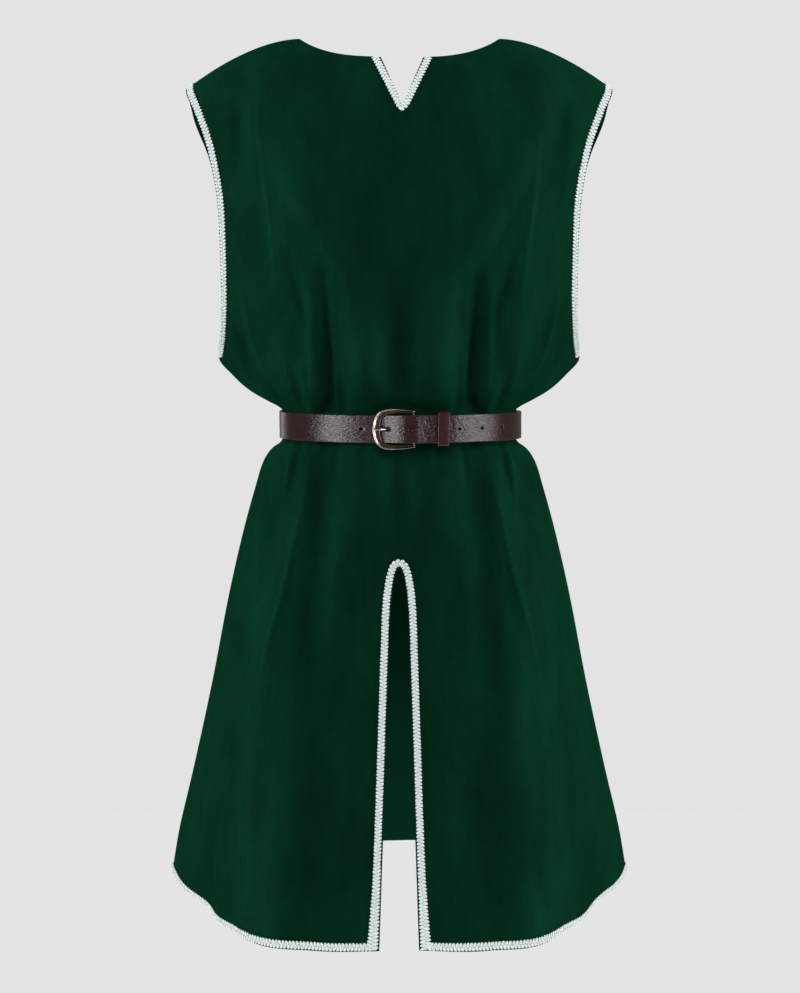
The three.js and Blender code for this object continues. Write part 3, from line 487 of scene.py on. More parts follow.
def half_side(side):
    """The share u and the level z of every station of half a side, from hem to upper edge."""
    girths = GIRTHS[side]
    rows_u, rows_z = [], []
    for z in LEVELS:
        ends = np.array(inner_columns(side, z)) / float(half_width(side, z))
        first, second = girths.share(ends, np.array([z, z]))
        shares = columns_between(first, second, 1 - STRIP["armhole"] / float(girths.width(z)))
        rows_u.append(girths.unrolled(shares, z))
        rows_z.append(np.full(len(shares), z))
    base_u = rows_u[-1]
    middle_top = float(upper_edge(side, 0))
    top_second = inner_columns(side, middle_top)[1] / TIP_HALF
    top_u = columns_between(0, top_second, 1 - STRIP["armhole"] / TIP_HALF)
    top_z = upper_edge(side, top_u * TIP_HALF)
    strip = np.arange(len(top_u)) <= STRIP_COLUMNS
    for climb in CLIMBS:
        z = BASE + (top_z - BASE) * climb
        first, second = inner_columns(side, BASE + (middle_top - BASE) * climb)
        across = first + (second - first) * np.minimum(np.arange(len(top_u)) / STRIP_COLUMNS, 1)
        free = base_u + (top_u - base_u) * climb
        start = second / half_width(side, z[STRIP_COLUMNS])
        spread = start + (free - free[STRIP_COLUMNS]) * (1 - start) / (1 - free[STRIP_COLUMNS])
        rows_u.append(np.where(strip, across / half_width(side, z), spread))
        rows_z.append(z)
    return np.array(rows_u), np.array(rows_z)


def unit(vectors):
    return vectors / np.maximum(np.linalg.norm(vectors, axis=-1, keepdims=True), 1e-12)


def merged(points, quads):
    """Points with those in one place made one, the quads over them, and each old point's new place."""
    keys = np.round(points * 1000).astype(np.int64)
    _, first, place = np.unique(keys, axis=0, return_index=True, return_inverse=True)
    place = place.reshape(-1)
    faces = []
    for quad in place[quads]:
        corners = [int(v) for i, v in enumerate(quad) if v != quad[i - 1]]
        if len(corners) > 2:
            faces.append(corners)
    return points[first], faces, place


def normals_of(points, faces):
    triangles = np.array([t for f in faces for t in ((f[0], f[1], f[2]), (f[0], f[2], f[-1]))])
    a, b, c = (points[triangles[:, i]] for i in range(3))
    across = np.cross(b - a, c - a)
    sums = np.zeros(points.shape)
    for i in range(3):
        np.add.at(sums, triangles[:, i], across)
    return unit(sums)


class Side:
    """Front or back of the garment: its stations by hand, row and column, with normals."""

    def __init__(self, side):
        self.side = side
        u, z = half_side(side)
        self.rows, self.columns = u.shape
        made = [surface(side, sign, u, z) for sign in (-1, 1)]
        grids = [points for points, _, _ in made]
        heights = np.concatenate([height.reshape(-1) for _, height, _ in made])
        crests = np.concatenate([crested.reshape(-1) for _, _, crested in made])
        count = self.rows * self.columns
        self.quads = []
        corner = np.arange(count).reshape(self.rows, self.columns)
        cells = np.stack([corner[:-1, :-1], corner[:-1, 1:], corner[1:, 1:], corner[1:, :-1]], axis=-1)
        for hand, sign in enumerate((-1, 1)):
            turned = cells if (side == "front") == (sign > 0) else cells[..., ::-1]
            self.quads.append(turned + hand * count)
        points = np.concatenate([grid.reshape(-1, 3) for grid in grids])
        merged_points, faces, place = merged(points, np.concatenate([q.reshape(-1, 4) for q in self.quads]))
        normals = normals_of(merged_points, faces)[place]
        self.take_off_seams(points, normals)
        self.points = points
        self.normals = normals
        # Painted light and shade for the cloth's colour, from its slope, its folds and its crests.
        self.nap = self.painted_light_of(normals, heights, crests)
        self.shape = (2, self.rows, self.columns, 3)

    def painted_light_of(self, normals, heights, crests):
        """Painted light and shade in the brushed face's colour at each station: 1 where it is flat and faces
        front or back, lighter where it turns to the side or rises to a ridge or crest, darker down in the
        folds.
        """
        turned = np.minimum(np.abs(normals[:, 0]) / PAINTED_LIGHT["turned"], 1)
        risen = np.clip(heights / PAINTED_LIGHT["high"], 0, 1)
        sunk = np.clip(-heights / PAINTED_LIGHT["deep"], 0, 1)
        sideways = PAINTED_LIGHT["sideways"] * turned * turned * (3 - 2 * turned)
        return 1 + sideways + PAINTED_LIGHT["ridge"] * risen + PAINTED_LIGHT["crest"] * crests - PAINTED_LIGHT["fold"] * sunk

    def take_off_seams(self, points, normals):
        """Draws the edges at the shoulder and side seams back by half a gap and half the cloth."""
        across = np.abs(points[:, 0])
        z = points[:, 2]
        top = (z > ARMPIT + 1) & (across > NECK_HALF - 0.5) & (np.abs(points[:, 1]) < 0.01)
        low = (z <= ARMPIT + 1) & (across > half_width("front", z) - 0.01)
        out = -1 if self.side == "front" else 1
        seam = top | low
        points[seam, 1] += out * (GAP / 2 + np.abs(normals[seam, 1]) * CLOTH / 2)

    def part(self, first_row, last_row):
        """Merged points, normals, painted light and shade of the brushed face, and faces of the rows from
        the first to the last.
        """
        quads = np.concatenate([q[first_row:last_row].reshape(-1, 4) for q in self.quads])
        used, flat = np.unique(quads, return_inverse=True)
        points, faces, place = merged(self.points[used], flat.reshape(-1, 4))
        normals = np.zeros(points.shape)
        normals[place] = self.normals[used]
        nap = np.zeros(len(points))
        nap[place] = self.nap[used]
        return points, normals, nap, faces

    def station(self, hand, row, column):
        """Points and normals at rows and columns of a hand, 0 for -X and 1 for +X."""
        points = self.points.reshape(self.shape)
        normals = self.normals.reshape(self.shape)
        return points[hand, row, column], normals[hand, row, column]


# ---------------------------------------------------------------- meshes
def new_piece(name, points, faces, materials, nodes, attributes=None):
    """A smooth mesh of these points in millimetres that stands for CAD nodes."""
    mesh = bpy.data.meshes.new(name)
    mesh.from_pydata((np.asarray(points) * MM).tolist(), [], faces)
    mesh.update()
    mesh.polygons.foreach_set("use_smooth", np.ones(len(mesh.polygons), bool))
    for key, values in (attributes or {}).items():
        attribute = mesh.attributes.new(key, "FLOAT_VECTOR", "POINT")
        attribute.data.foreach_set("vector", np.asarray(values, np.float32).reshape(-1))
    for material in materials:
        mesh.materials.append(material)
    piece = bpy.data.objects.new(name, mesh)
    bpy.context.scene.collection.objects.link(piece)
    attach(piece, "root")
    if nodes:
        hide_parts(*nodes)
    return piece


# How far the cloth's rounded rim stands out, and how much of the reverse's colour it shows.
RIM = 0.42
RIM_REVERSE = 0.3


def shell(points, normals, nap, faces):
    """Cloth of full thickness round a middle surface, with a rounded rim; marks are (reverse, painted light
    and shade of the face, 0).
    """
    count = len(points)
    directed = {}
    for face in faces:
        for i, start in enumerate(face):
            directed[(face[i - 1], start)] = True
    boundary = [edge for edge in directed if (edge[1], edge[0]) not in directed]
    outward = np.zeros(points.shape)
    for start, end in boundary:
        away = np.cross(points[end] - points[start], normals[start] + normals[end])
        outward[start] += away
        outward[end] += away
    rim_places = sorted({v for edge in boundary for v in edge})
    rim_of = {v: 2 * count + i for i, v in enumerate(rim_places)}
    rim = points[rim_places] + unit(outward[rim_places]) * RIM
    made = np.concatenate([points + normals * CLOTH / 2, points - normals * CLOTH / 2, rim])
    walls = [list(face) for face in faces] + [[v + count for v in reversed(face)] for face in faces]
    for start, end in boundary:
        a, b = rim_of[start], rim_of[end]
        walls.append([end, start, a, b])
        walls.append([b, a, start + count, end + count])
    reverse = np.repeat([0.0, 1.0, RIM_REVERSE], [count, count, len(rim)])
    # The face keeps its painted light and shade; the reverse and the rim get none.
    painted_lightness = np.concatenate([nap, np.ones(count + len(rim))])
    return made, walls, {"face": np.stack([reverse, painted_lightness, 0 * reverse], axis=1)}


def resampled(line, step):
    """Rows of numbers whose first three are a point, spaced evenly along the line."""
    lengths = np.concatenate([[0], np.cumsum(np.linalg.norm(np.diff(line[:, :3], axis=0), axis=1))])
    count = max(2, round(lengths[-1] / step))
    at = np.linspace(0, lengths[-1], count + 1)
    return np.stack([np.interp(at, lengths, line[:, i]) for i in range(line.shape[1])], axis=1), at


def ring_faces(rings, size, start=0, closed=False):
    """Faces between rings of points that follow each other, and round to the first if closed."""
    faces = []
    for i in range(rings if closed else rings - 1):
        first, second = start + i * size, start + (i + 1) % rings * size
        for j in range(size):
            k = (j + 1) % size
            faces.append([first + j, first + k, second + k, second + j])
    return faces


def end_faces(rings, size):
    """The flat faces on the first and the last ring."""
    return [list(range(size))[::-1], [(rings - 1) * size + j for j in range(size)]]


def sweep(centres, normals, sides, ring):
    """Joins rings of (side, normal) offsets along a line into closed faces, with flat ends."""
    points = [
        centre + side * offset[0] + normal * offset[1]
        for centre, normal, side, shape in zip(centres, normals, sides, ring)
        for offset in shape
    ]
    size = len(ring[0])
    return np.array(points), ring_faces(len(ring), size) + end_faces(len(ring), size)


# ---------------------------------------------------------------- braid
GIMP = {"pitch": 3.9, "slant": 2.1, "tape": 0.55, "margin": 1.8, "ring": 9, "stagger": 0.25, "seed": 5}
# One loop of cord from the braid's middle to its scalloped edge: share of the way, half width, half
# thickness, and height of its middle.
LOOP = np.array([
    (-0.1, 0.3, 0.25, -0.25), (0, 0.9, 0.5, -0.05), (0.16, 1.45, 0.62, 0.14), (0.38, 1.78, 0.68, 0.22),
    (0.58, 1.8, 0.7, 0.18), (0.76, 1.42, 0.68, 0.08), (0.9, 0.96, 0.56, -0.02), (0.98, 0.55, 0.4, -0.14),
    (1.0, 0.2, 0.16, -0.2),
])
# How unevenly the loops are plaited: their place, length, thickness, width and the start of their twist.
UNEVEN = {"place": 0.07, "long": 0.03, "thick": 0.08, "wide": 0.025, "twist": 9}
TAPE_LOW = -0.7
BRAID_STEP = 0.8
BRAID_LIFT = CLOTH / 2 + 1.05
TUCK = {"length": 7, "steps": 9}


def loop_of_cord(hand, width):
    """Across, along and outward places of one loop's points, its faces, and marks for its cord's twist and
    for the painted shade on its lower side.
    """
    angles = np.linspace(0, math.tau, GIMP["ring"], endpoint=False)
    slant = math.atan2(GIMP["slant"], width / 2)
    points, marks = [], []
    for share, half, thick, height in LOOP:
        for angle in angles:
            side = math.cos(angle) * half
            points.append((
                hand * (share * width / 2 - side * math.sin(slant)),
                (share - 0.5) * GIMP["slant"] + side * math.cos(slant),
                height + math.sin(angle) * thick,
            ))
            marks.append((share * width / 2, side, math.sin(angle)))
    size, count = GIMP["ring"], len(LOOP)
    faces = ring_faces(count, size) + end_faces(count, size)
    if hand < 0:
        faces = [face[::-1] for face in faces]
    return np.array(points), faces, np.array(marks)


def gimp_braid(line, width, wider=None):
    """Loops of cord, alternately to both sides of a tape, along rows of (centre, normal)."""
    rows, at = resampled(line, BRAID_STEP)
    centre, normal = rows[:, :3], unit(rows[:, 3:6])
    ahead = unit(np.gradient(centre, axis=0))
    side = unit(np.cross(ahead, normal))
    normal = unit(np.cross(side, ahead))
    frames = np.concatenate([centre, side, normal], axis=1)
    spread = wider(np.minimum(at, at[-1] - at)) if wider else np.ones(len(at))
    random = np.random.default_rng(GIMP["seed"])
    count = max(2, round(at[-1] / GIMP["pitch"]))
    pitch = at[-1] / count
    points, faces, marks = [], [], []
    used = 0
    for hand in (-1, 1):
        shape, walls, loop_marks = loop_of_cord(hand, width)
        for i in range(count):
            middle = (i + 0.5 + hand * GIMP["stagger"]) * pitch
            start = middle + random.normal(0, UNEVEN["place"])
            grown = shape * (1, 1 + random.normal(0, UNEVEN["long"]), 1 + random.normal(0, UNEVEN["thick"]))
            grown[:, 0] *= np.interp(start, at, spread) * (1 + random.normal(0, UNEVEN["wide"]))
            places = np.clip(start + grown[:, 1], 0, at[-1])
            found = np.stack([np.interp(places, at, frames[:, k]) for k in range(9)], axis=1)
            points.append(found[:, :3] + found[:, 3:6] * grown[:, :1] + found[:, 6:9] * grown[:, 2:])
            faces += [[v + used for v in face] for face in walls]
            marks.append(loop_marks + (random.uniform(0, UNEVEN["twist"]), 0, 0))
            used += len(shape)
    low, high = TAPE_LOW, TAPE_LOW + GIMP["tape"]
    tape = [
        [(-half, low), (half, low), (half, high), (-half, high)]
        for half in width / 2 * spread - GIMP["margin"]
    ]
    made, walls = sweep(centre, normal, side, tape)
    faces += [[v + used for v in face] for face in walls]
    # The tape is marked lowest, so it takes the fullest painted shade.
    marks.append(np.tile([0.0, 0, -1], (len(made), 1)))
    return np.concatenate(points + [made]), faces, {"strand": np.concatenate(marks)}


def lifted(points, normals):
    return np.concatenate([points + normals * BRAID_LIFT, normals], axis=1)


def tucked(points, normals):
    """The lifted line, carried on over the cloth's edge at its end and a little way down the inner face."""
    line = lifted(points, normals)
    ahead = unit(points[-1] - points[-2])
    turns = np.linspace(0, math.pi, TUCK["steps"])[1:]
    over = []
    for turn in turns:
        normal = normals[-1] * math.cos(turn) + ahead * math.sin(turn)
        over.append([*(points[-1] + normal * BRAID_LIFT), *normal])
    back = [
        [*(points[-1] - ahead * length - normals[-1] * BRAID_LIFT), *-normals[-1]]
        for length in np.linspace(0, TUCK["length"], 5)[1:]
    ]
    return np.concatenate([line, np.array(over), np.array(back)])


def on_front(x, z):
    """Points and outward normals of the front at signed x and z."""
    def at(x_place, z_place):
        share = np.abs(x_place) / half_width("front", z_place)
        return cloth_points("front", np.where(x_place < 0, -1, 1), share, z_place)
    step = BRAID_STEP
    points = at(x, z)
    across = at(x + step, z) - at(x - step, z)
    up = at(x, z + step) - at(x, z - step)
    return points, unit(np.cross(across, up))


def inset(x, z, distance):
    """A plane line moved sideways, to the left of its own direction, by a distance."""
    dx, dz = np.gradient(x), np.gradient(z)
    length = np.hypot(dx, dz)
    return x - dz / length * distance, z + dx / length * distance


# How far the braid's own edge stays off the cut edge, and off the hem.
EDGE = 1.1
HEM_EDGE = 0.6
BRAID_WIDTH = {"slit": 8, "notch": 8, "armhole": 8.8, "hem": 8.6}
# Close to the hem the loops beside the slit are splayed.
SPLAY = {"more": 0.55, "reach": 115}


def splayed(distance):
    """How much wider the slit's braid is at a distance from its end."""
    return 1 + SPLAY["more"] * np.clip(1 - distance / SPLAY["reach"], 0, 1) ** 2


def slit_line():
    """From the hem at -X up over the arch and down to the hem at +X."""
    turn = np.linspace(0, 1, 220)
    z = HEM + 1 + (SLIT["top"] - HEM - 1) * np.sin(turn * math.pi / 2)
    x = slit_half(z, False)
    x[-1] = 0
    up_x, up_z = inset(-x, z, EDGE + BRAID_WIDTH["slit"] / 2 * splayed(z - HEM))
    clear = up_x < -0.3
    up_x, up_z = up_x[clear], up_z[clear]
    crown = SLIT["top"] + EDGE + BRAID_WIDTH["slit"] / 2
    x = np.concatenate([up_x, [0], -up_x[::-1]])
    z = np.concatenate([up_z, [crown], up_z[::-1]])
    line, _ = resampled(np.stack([x, z, 0 * x], axis=1), 2)
    return line[:, 0], line[:, 1]


# The notch's braid: how far its line stands off the strip's middle, and how round its point is.
NOTCH_BRAID = {"aside": 0.9, "below": 1.4, "fillet": 4.2, "sunk": 0.45}


def notch_line():
    """From the neckline at -X down round the point of the notch and up to the neckline at +X."""
    top = -NECKLINES["front"][0]
    half = (NOTCH["half"] + NOTCH["outer_half"]) / 2 + NOTCH_BRAID["aside"]
    low = (NOTCH["low"] + NOTCH["outer_low"]) / 2 - NOTCH_BRAID["below"]
    lean = half / (top - low)
    fillet = NOTCH_BRAID["fillet"]
    x = np.linspace(-half, half, 121)
    z = low + (np.sqrt(x * x + (fillet * lean) ** 2) - NOTCH_BRAID["sunk"] * fillet * lean) / lean
    keep = z <= top
    return x[keep], z[keep]


# ---------------------------------------------------------------- belt
def waist_line():
    """The waist's outline at the belt, once round from the middle of the front towards +X."""
    u = np.sin(np.linspace(0, math.pi / 2, 91))
    z = float(BELT["z"])
    half = float(half_width("front", z))
    front = np.stack([u * half, depth("front", u, u * half, z)], axis=1)
    back = np.stack([u * half, depth("back", u, u * half, z)], axis=1)
    right = np.concatenate([front, back[::-1][1:]])
    left = right[1:-1][::-1] * (-1, 1)
    points = np.concatenate([right, left, right[:1]])
    lengths = np.concatenate([[0], np.cumsum(np.linalg.norm(np.diff(points, axis=0), axis=1))])
    return points, lengths


WAIST_POINTS, WAIST_LENGTHS = waist_line()
LAP = WAIST_LENGTHS[-1]


def waist(along):
    """Points, outward directions and tangents, in the plane, at distances along the waist's outline."""
    def at(distance):
        place = np.mod(distance, LAP)
        return np.stack([np.interp(place, WAIST_LENGTHS, WAIST_POINTS[:, i]) for i in range(2)], axis=-1)
    along = np.asarray(along, float)
    tangent = unit(at(along + 2) - at(along - 2))
    return at(along), np.stack([tangent[..., 1], -tangent[..., 0]], axis=-1), tangent


def on_belt(along, up, lift):
    """World points at distances along the waist, heights from the belt's middle and lifts from the cloth."""
    point, out, _ = waist(along)
    flat = point + out * np.asarray(lift, float)[..., None]
    return np.concatenate([flat, (BELT["z"] + np.broadcast_to(up, flat.shape[:-1]))[..., None]], axis=-1)


STRAP_OUT = Table("along lift", [
    (16, 8.45), (20, 7.6), (26, 5.7), (33, 5.15), (42, 4.6), (56, 4.55), (70, 3.4), (84, 2.45),
])
STRAP_BACK = Table("along lift", [
    (-36, 2.45), (-28, 2.6), (-20, 2.8), (-16, 3.3), (-13, 4.15), (-7, 6.6), (1, 9.5), (9, 11.1),
    (17, 11.15), (23, 9.8), (30, 8.3), (40, 7.4), (56, 7.3), (70, 6.2), (84, 5.2),
])
FLAP = {"end": 38, "lift": 2.45}
STRAP_TIP = {"along": 200, "taper": 15, "blunt": 0.985}
FRAME_LINE = np.array([
    (17.5, 18.4, 2.8), (6, 19.5, 4), (-7, 19.9, 5.2), (-14, 19.1, 5.8), (-19.2, 16.6, 6.4),
    (-22.4, 12.1, 6.9), (-24.2, 6, 7.3), (-24.8, 0, 7.4),
])
PRONG_LINE = np.array([
    (13.9, 4.9), (5, 3.4), (-4, 2.6), (-9.5, 2.5), (-12.5, 3.6), (-16.5, 7.2), (-20.8, 10.1), (-24, 10.5),
    (-28.3, 10.3),
])


def strap_route():
    """Rows of (along, lift, half height) from the flap's end, round the bar and the waist, to the tip."""
    half = BELT["height"] / 2
    turn = BAR["lift"] - FLAP["lift"]
    rows = [(along, FLAP["lift"], half) for along in np.arange(FLAP["end"], BAR["along"], -2)]
    for angle in np.radians(np.linspace(-90, 90, 13)):
        rows.append((BAR["along"] - turn * math.cos(angle), BAR["lift"] + turn * math.sin(angle), half))
    first, last = STRAP_OUT.at[0], STRAP_OUT.at[-1]
    rows += [(along, float(STRAP_OUT.read("lift", along)), half) for along in np.arange(first + 2, last, 2)]
    start = LAP + STRAP_BACK.at[0]
    steps = round((start - last) / 4)
    rows += [(along, FLAP["lift"], half) for along in np.linspace(last, start, steps)[:-1]]
    for along in np.arange(STRAP_BACK.at[0], STRAP_BACK.at[-1], 1.2):
        rows.append((along + LAP, float(STRAP_BACK.read("lift", along)), half))
    lift = float(STRAP_BACK.read("lift", STRAP_BACK.at[-1]))
    for along in np.linspace(STRAP_BACK.at[-1], STRAP_TIP["along"], 45):
        into = (along - STRAP_TIP["along"] + STRAP_TIP["taper"]) / STRAP_TIP["taper"]
        into = np.clip(into, 0, STRAP_TIP["blunt"])
        rows.append((along + LAP, lift, half * math.sqrt(1 - into ** 2)))
    return np.array(rows)


STRAP_EDGE = 0.85
# The strap is not quite even: heights and lengths of its slow waves along, and of the dishing of its face.
STRAP_SAG = ((0.18, 37, 0), (0.12, 13.7, 1))
STRAP_DISH = {"height": 0.1, "up": 6, "along": 21, "fade": 1.4}
CREASE_HALF = 1.5
# The upper lap can be creased from this far ahead of the stretch that lifts it over the buckle.
CREASE_LEAD = 30


def strap_section(half, thick, steps):
    """Ring of (up, out) of a strap with worked round edges, from the lower outer corner upwards."""
    edge = STRAP_EDGE
    turn = np.linspace(0, math.pi / 2, 4)
    face = np.linspace(-half + edge, half - edge, steps)
    ring = [(up, thick / 2) for up in face]
    ring += [(half - edge + edge * math.sin(a), thick / 2 - edge + edge * math.cos(a)) for a in turn[1:]]
    inner = [(up, -thick / 2) for up in np.linspace(half - edge, -half + edge, 7)]
    ring += [(half - edge + edge * math.cos(a), -thick / 2 + edge - edge * math.sin(a)) for a in turn[:-1]]
    ring += inner
    ring += [(-half + edge - edge * math.sin(a), -thick / 2 + edge - edge * math.cos(a)) for a in turn[1:]]
    ring += [(-half + edge - edge * math.cos(a), thick / 2 - edge + edge * math.sin(a)) for a in turn[:-1]]
    return np.array(ring)


# Creases pressed into the upper lap: along and up at both ends, and depth.
CREASES = (
    (27, 12, 30.5, 3, 0.5), (29.5, 14, 33.5, 1, 0.55), (31, 9, 34.5, -4, 0.3), (28, -6, 31, -13, 0.25),
    (34, 13, 37, 5, 0.35), (36, 2, 38.5, -9, 0.3), (55.5, 10, 57.5, 0, 0.4), (57, -2, 59.5, -12, 0.35),
    (60, 13, 66, 2, 0.25), (64, 8, 72, -6, 0.2), (70, 12, 80, 0, 0.2), (24.5, 4, 27, -8, 0.2),
)


def crease_depth(along, up):
    """How far creases sink the upper lap's face at a place on it."""
    sunk = np.zeros(np.broadcast(along, up).shape)
    for a0, u0, a1, u1, deep in CREASES:
        run, rise = a1 - a0, u1 - u0
        length = math.hypot(run, rise)
        t = ((along - a0) * run + (up - u0) * rise) / length ** 2
        across = ((along - a0) * rise - (up - u0) * run) / length
        sunk = sunk + deep * bump(across / CREASE_HALF) * bump(np.clip(2 * t - 1, -1, 1))
    return sunk


def strap_body():
    """Points, faces and belt coordinates (along, up, nearness to an edge) of the strap."""
    route = strap_route()
    line = on_belt(route[:, 0], 0, route[:, 1])
    tangent = unit(np.gradient(line, axis=0))
    out = np.stack([tangent[:, 1], -tangent[:, 0], 0 * tangent[:, 0]], axis=1)
    upper_lap = LAP + STRAP_BACK.at[0] - CREASE_LEAD
    rings, marks = [], []
    for along, _, half in route:
        ring = strap_section(half, BELT["thick"], 21)
        face = ring[:, 1] > BELT["thick"] / 2 - 0.05
        if along > upper_lap:
            ring[face, 1] -= crease_depth(along - LAP, ring[face, 0])
        sag = sum(height * math.sin(along / length + start) for height, length, start in STRAP_SAG)
        face_up = ring[face, 0]
        dished = np.sin(face_up / STRAP_DISH["up"] + along / STRAP_DISH["along"])
        ring[face, 1] += STRAP_DISH["height"] * dished * np.cos(face_up / half * STRAP_DISH["fade"])
        rings.append(ring + (sag, 0))
        marks += [(along, up, half - abs(up)) for up in ring[:, 0]]
    up_axis = np.tile([0.0, 0, 1], (len(route), 1))
    points, faces = sweep(line, out, up_axis, rings)
    return points, [face[::-1] for face in faces], {"strap": marks}


def belt_axes(along):
    """Point, outward direction and tangent in space at one place of the waist."""
    point, out, tangent = waist(float(along))
    return np.array([*point, BELT["z"]]), np.array([*out, 0]), np.array([*tangent, 0])


# A hole is straight to this share of the thickness on both sides of the middle. The cutter then widens by
# these amounts to its ends.
PUNCHED = {"straight": 0.32, "under": 0.5, "over": 0.9}


def punch(along, lift, radius, length, height):
    """A cutter through the strap, round or slot-shaped, a little wider at both faces."""
    point, out, tangent = belt_axes(along)
    size = HOLE["corners"]
    turn = np.linspace(0, math.tau, size, endpoint=False)
    stretch = max(0, height - radius)
    rings = []
    inside = BELT["thick"] * PUNCHED["straight"]
    for reach, grow in ((-length, PUNCHED["under"]), (-inside, 0), (inside, 0), (length, PUNCHED["over"])):
        centre = point + out * (lift + reach)
        rings.append([
            centre + tangent * (math.cos(a) * (radius + grow) + math.copysign(stretch, math.cos(a)))
            + np.array([0, 0, 1]) * math.sin(a) * (radius + grow)
            for a in turn
        ])
    return np.concatenate(rings), ring_faces(len(rings), size) + end_faces(len(rings), size)


def cut_holes(piece, key):
    """Punches the strap's holes with an exact boolean, which is applied. The named attribute is kept."""
    before = piece.data
    marks = np.zeros(len(before.vertices) * 3, np.float32)
    before.attributes[key].data.foreach_get("vector", marks)
    marks = marks.reshape(-1, 3)
    cutters = []
    for place in HOLE["places"]:
        along = PRONG["at"] + place * HOLE["spacing"]
        lift = float(STRAP_BACK.read("lift", along))
        cutters.append(punch(along, lift, HOLE["radius"], HOLE["reach"], 0))
    slot = PRONG_SLOT
    prong_slot = punch(
        PRONG["at"] + slot["shift"], slot["lift"], slot["radius"], slot["reach"], slot["half"],
    )
    cutter = bmesh.new()
    for points, faces in cutters + [prong_slot]:
        made = [cutter.verts.new(p * MM) for p in points]
        for face in faces:
            cutter.faces.new([made[v] for v in face])
    bmesh.ops.recalc_face_normals(cutter, faces=cutter.faces)
    mesh = bpy.data.meshes.new("cutter")
    cutter.to_mesh(mesh)
    cutter.free()
    tool = bpy.data.objects.new("cutter", mesh)
    bpy.context.scene.collection.objects.link(tool)
    modifier = piece.modifiers.new("holes", "BOOLEAN")
    modifier.operation = "DIFFERENCE"
    modifier.solver = "EXACT"
    modifier.object = tool
    bpy.context.view_layer.update()
    cut = bpy.data.meshes.new_from_object(piece.evaluated_get(bpy.context.evaluated_depsgraph_get()))
    piece.modifiers.clear()
    piece.data = cut
    nearest = KDTree(len(before.vertices))
    for vertex in before.vertices:
        nearest.insert(vertex.co, vertex.index)
    nearest.balance()
    kept = [marks[nearest.find(vertex.co)[1]] for vertex in cut.vertices]
    cut.attributes[key].data.foreach_set("vector", np.array(kept, np.float32).reshape(-1))
    bpy.data.objects.remove(tool)


def rounded_loop(half_wide, half_deep, corner, count):
    """Ring of (a, b) round a rectangle with round corners."""
    made = []
    for quarter in range(4):
        a_sign = (1, -1, -1, 1)[quarter]
        b_sign = (1, 1, -1, -1)[quarter]
        for angle in np.linspace(quarter, quarter + 1, count) * math.pi / 2:
            made.append((
                a_sign * (half_wide - corner) + corner * math.cos(angle),
                b_sign * (half_deep - corner) + corner * math.sin(angle),
            ))
    return np.array(made)


KEEPER_ROUND = {"bend": 1.9, "edge": 0.7, "bow": 0.25, "over": 9}


def keeper_body():
    """A loop of leather round both laps, with worked edges."""
    inner, outer, thick = KEEPER["inner"], KEEPER["outer"], KEEPER["thick"]
    half_up = BELT["height"] / 2 + KEEPER["spare"] + thick / 2
    half_out = (outer - inner - thick) / 2
    path = rounded_loop(half_up, half_out, KEEPER_ROUND["bend"], 9)
    profile = rounded_loop((KEEPER["to"] - KEEPER["from"]) / 2, thick / 2, KEEPER_ROUND["edge"], 4)
    middle = (KEEPER["from"] + KEEPER["to"]) / 2
    size = len(profile)
    points, marks = [], []
    ahead = unit(np.roll(path, -1, axis=0) - np.roll(path, 1, axis=0))
    for (up, out_at), (d_up, d_out) in zip(path, ahead):
        for across, away in profile:
            place = middle + across + KEEPER_ROUND["bow"] * math.sin(up / KEEPER_ROUND["over"])
            lift = (inner + outer) / 2 + out_at - d_up * away
            points.append(on_belt(place, up + d_out * away, lift))
            marks.append((across, up, (KEEPER["to"] - KEEPER["from"]) / 2 - abs(across)))
    return np.array(points), ring_faces(len(path), size, closed=True), {"strap": marks}


def catmull_rom(points, steps):
    """A centripetal Catmull-Rom curve through rows of numbers."""
    ends = np.concatenate([[2 * points[0] - points[1]], points, [2 * points[-1] - points[-2]]])
    made = []
    for i in range(len(points) - 1):
        p = ends[i:i + 4]
        knots = np.concatenate([[0], np.cumsum(np.linalg.norm(np.diff(p, axis=0), axis=1) ** 0.5)])
        for t in np.linspace(knots[1], knots[2], steps, endpoint=False):
            a = [p[k] + (p[k + 1] - p[k]) * (t - knots[k]) / (knots[k + 1] - knots[k]) for k in range(3)]
            b = [a[k] + (a[k + 1] - a[k]) * (t - knots[k]) / (knots[k + 2] - knots[k]) for k in range(2)]
            made.append(b[0] + (b[1] - b[0]) * (t - knots[1]) / (knots[2] - knots[1]))
    return np.array(made + [points[-1]])


# Section of the buckle's rim: across from inner (-1) to outer edge (1), and up in shares of half its
# thickness.
RIM_SECTION = (
    (-1, -0.55), (-1, -0.2), (-0.9, 0.02), (-0.6, -0.02), (-0.25, 0.0), (0.1, 0.2), (0.32, 0.62),
    (0.5, 0.95), (0.68, 1.1), (0.86, 0.98), (0.98, 0.6), (1, 0.1), (0.97, -0.45), (0.8, -0.85), (0.4, -1),
    (-0.4, -1), (-0.85, -0.88),
)


# The rim's open ends round off over a short reach to a blunt tip.
RIM_END = {"reach": 1.4, "blunt": 0.2}


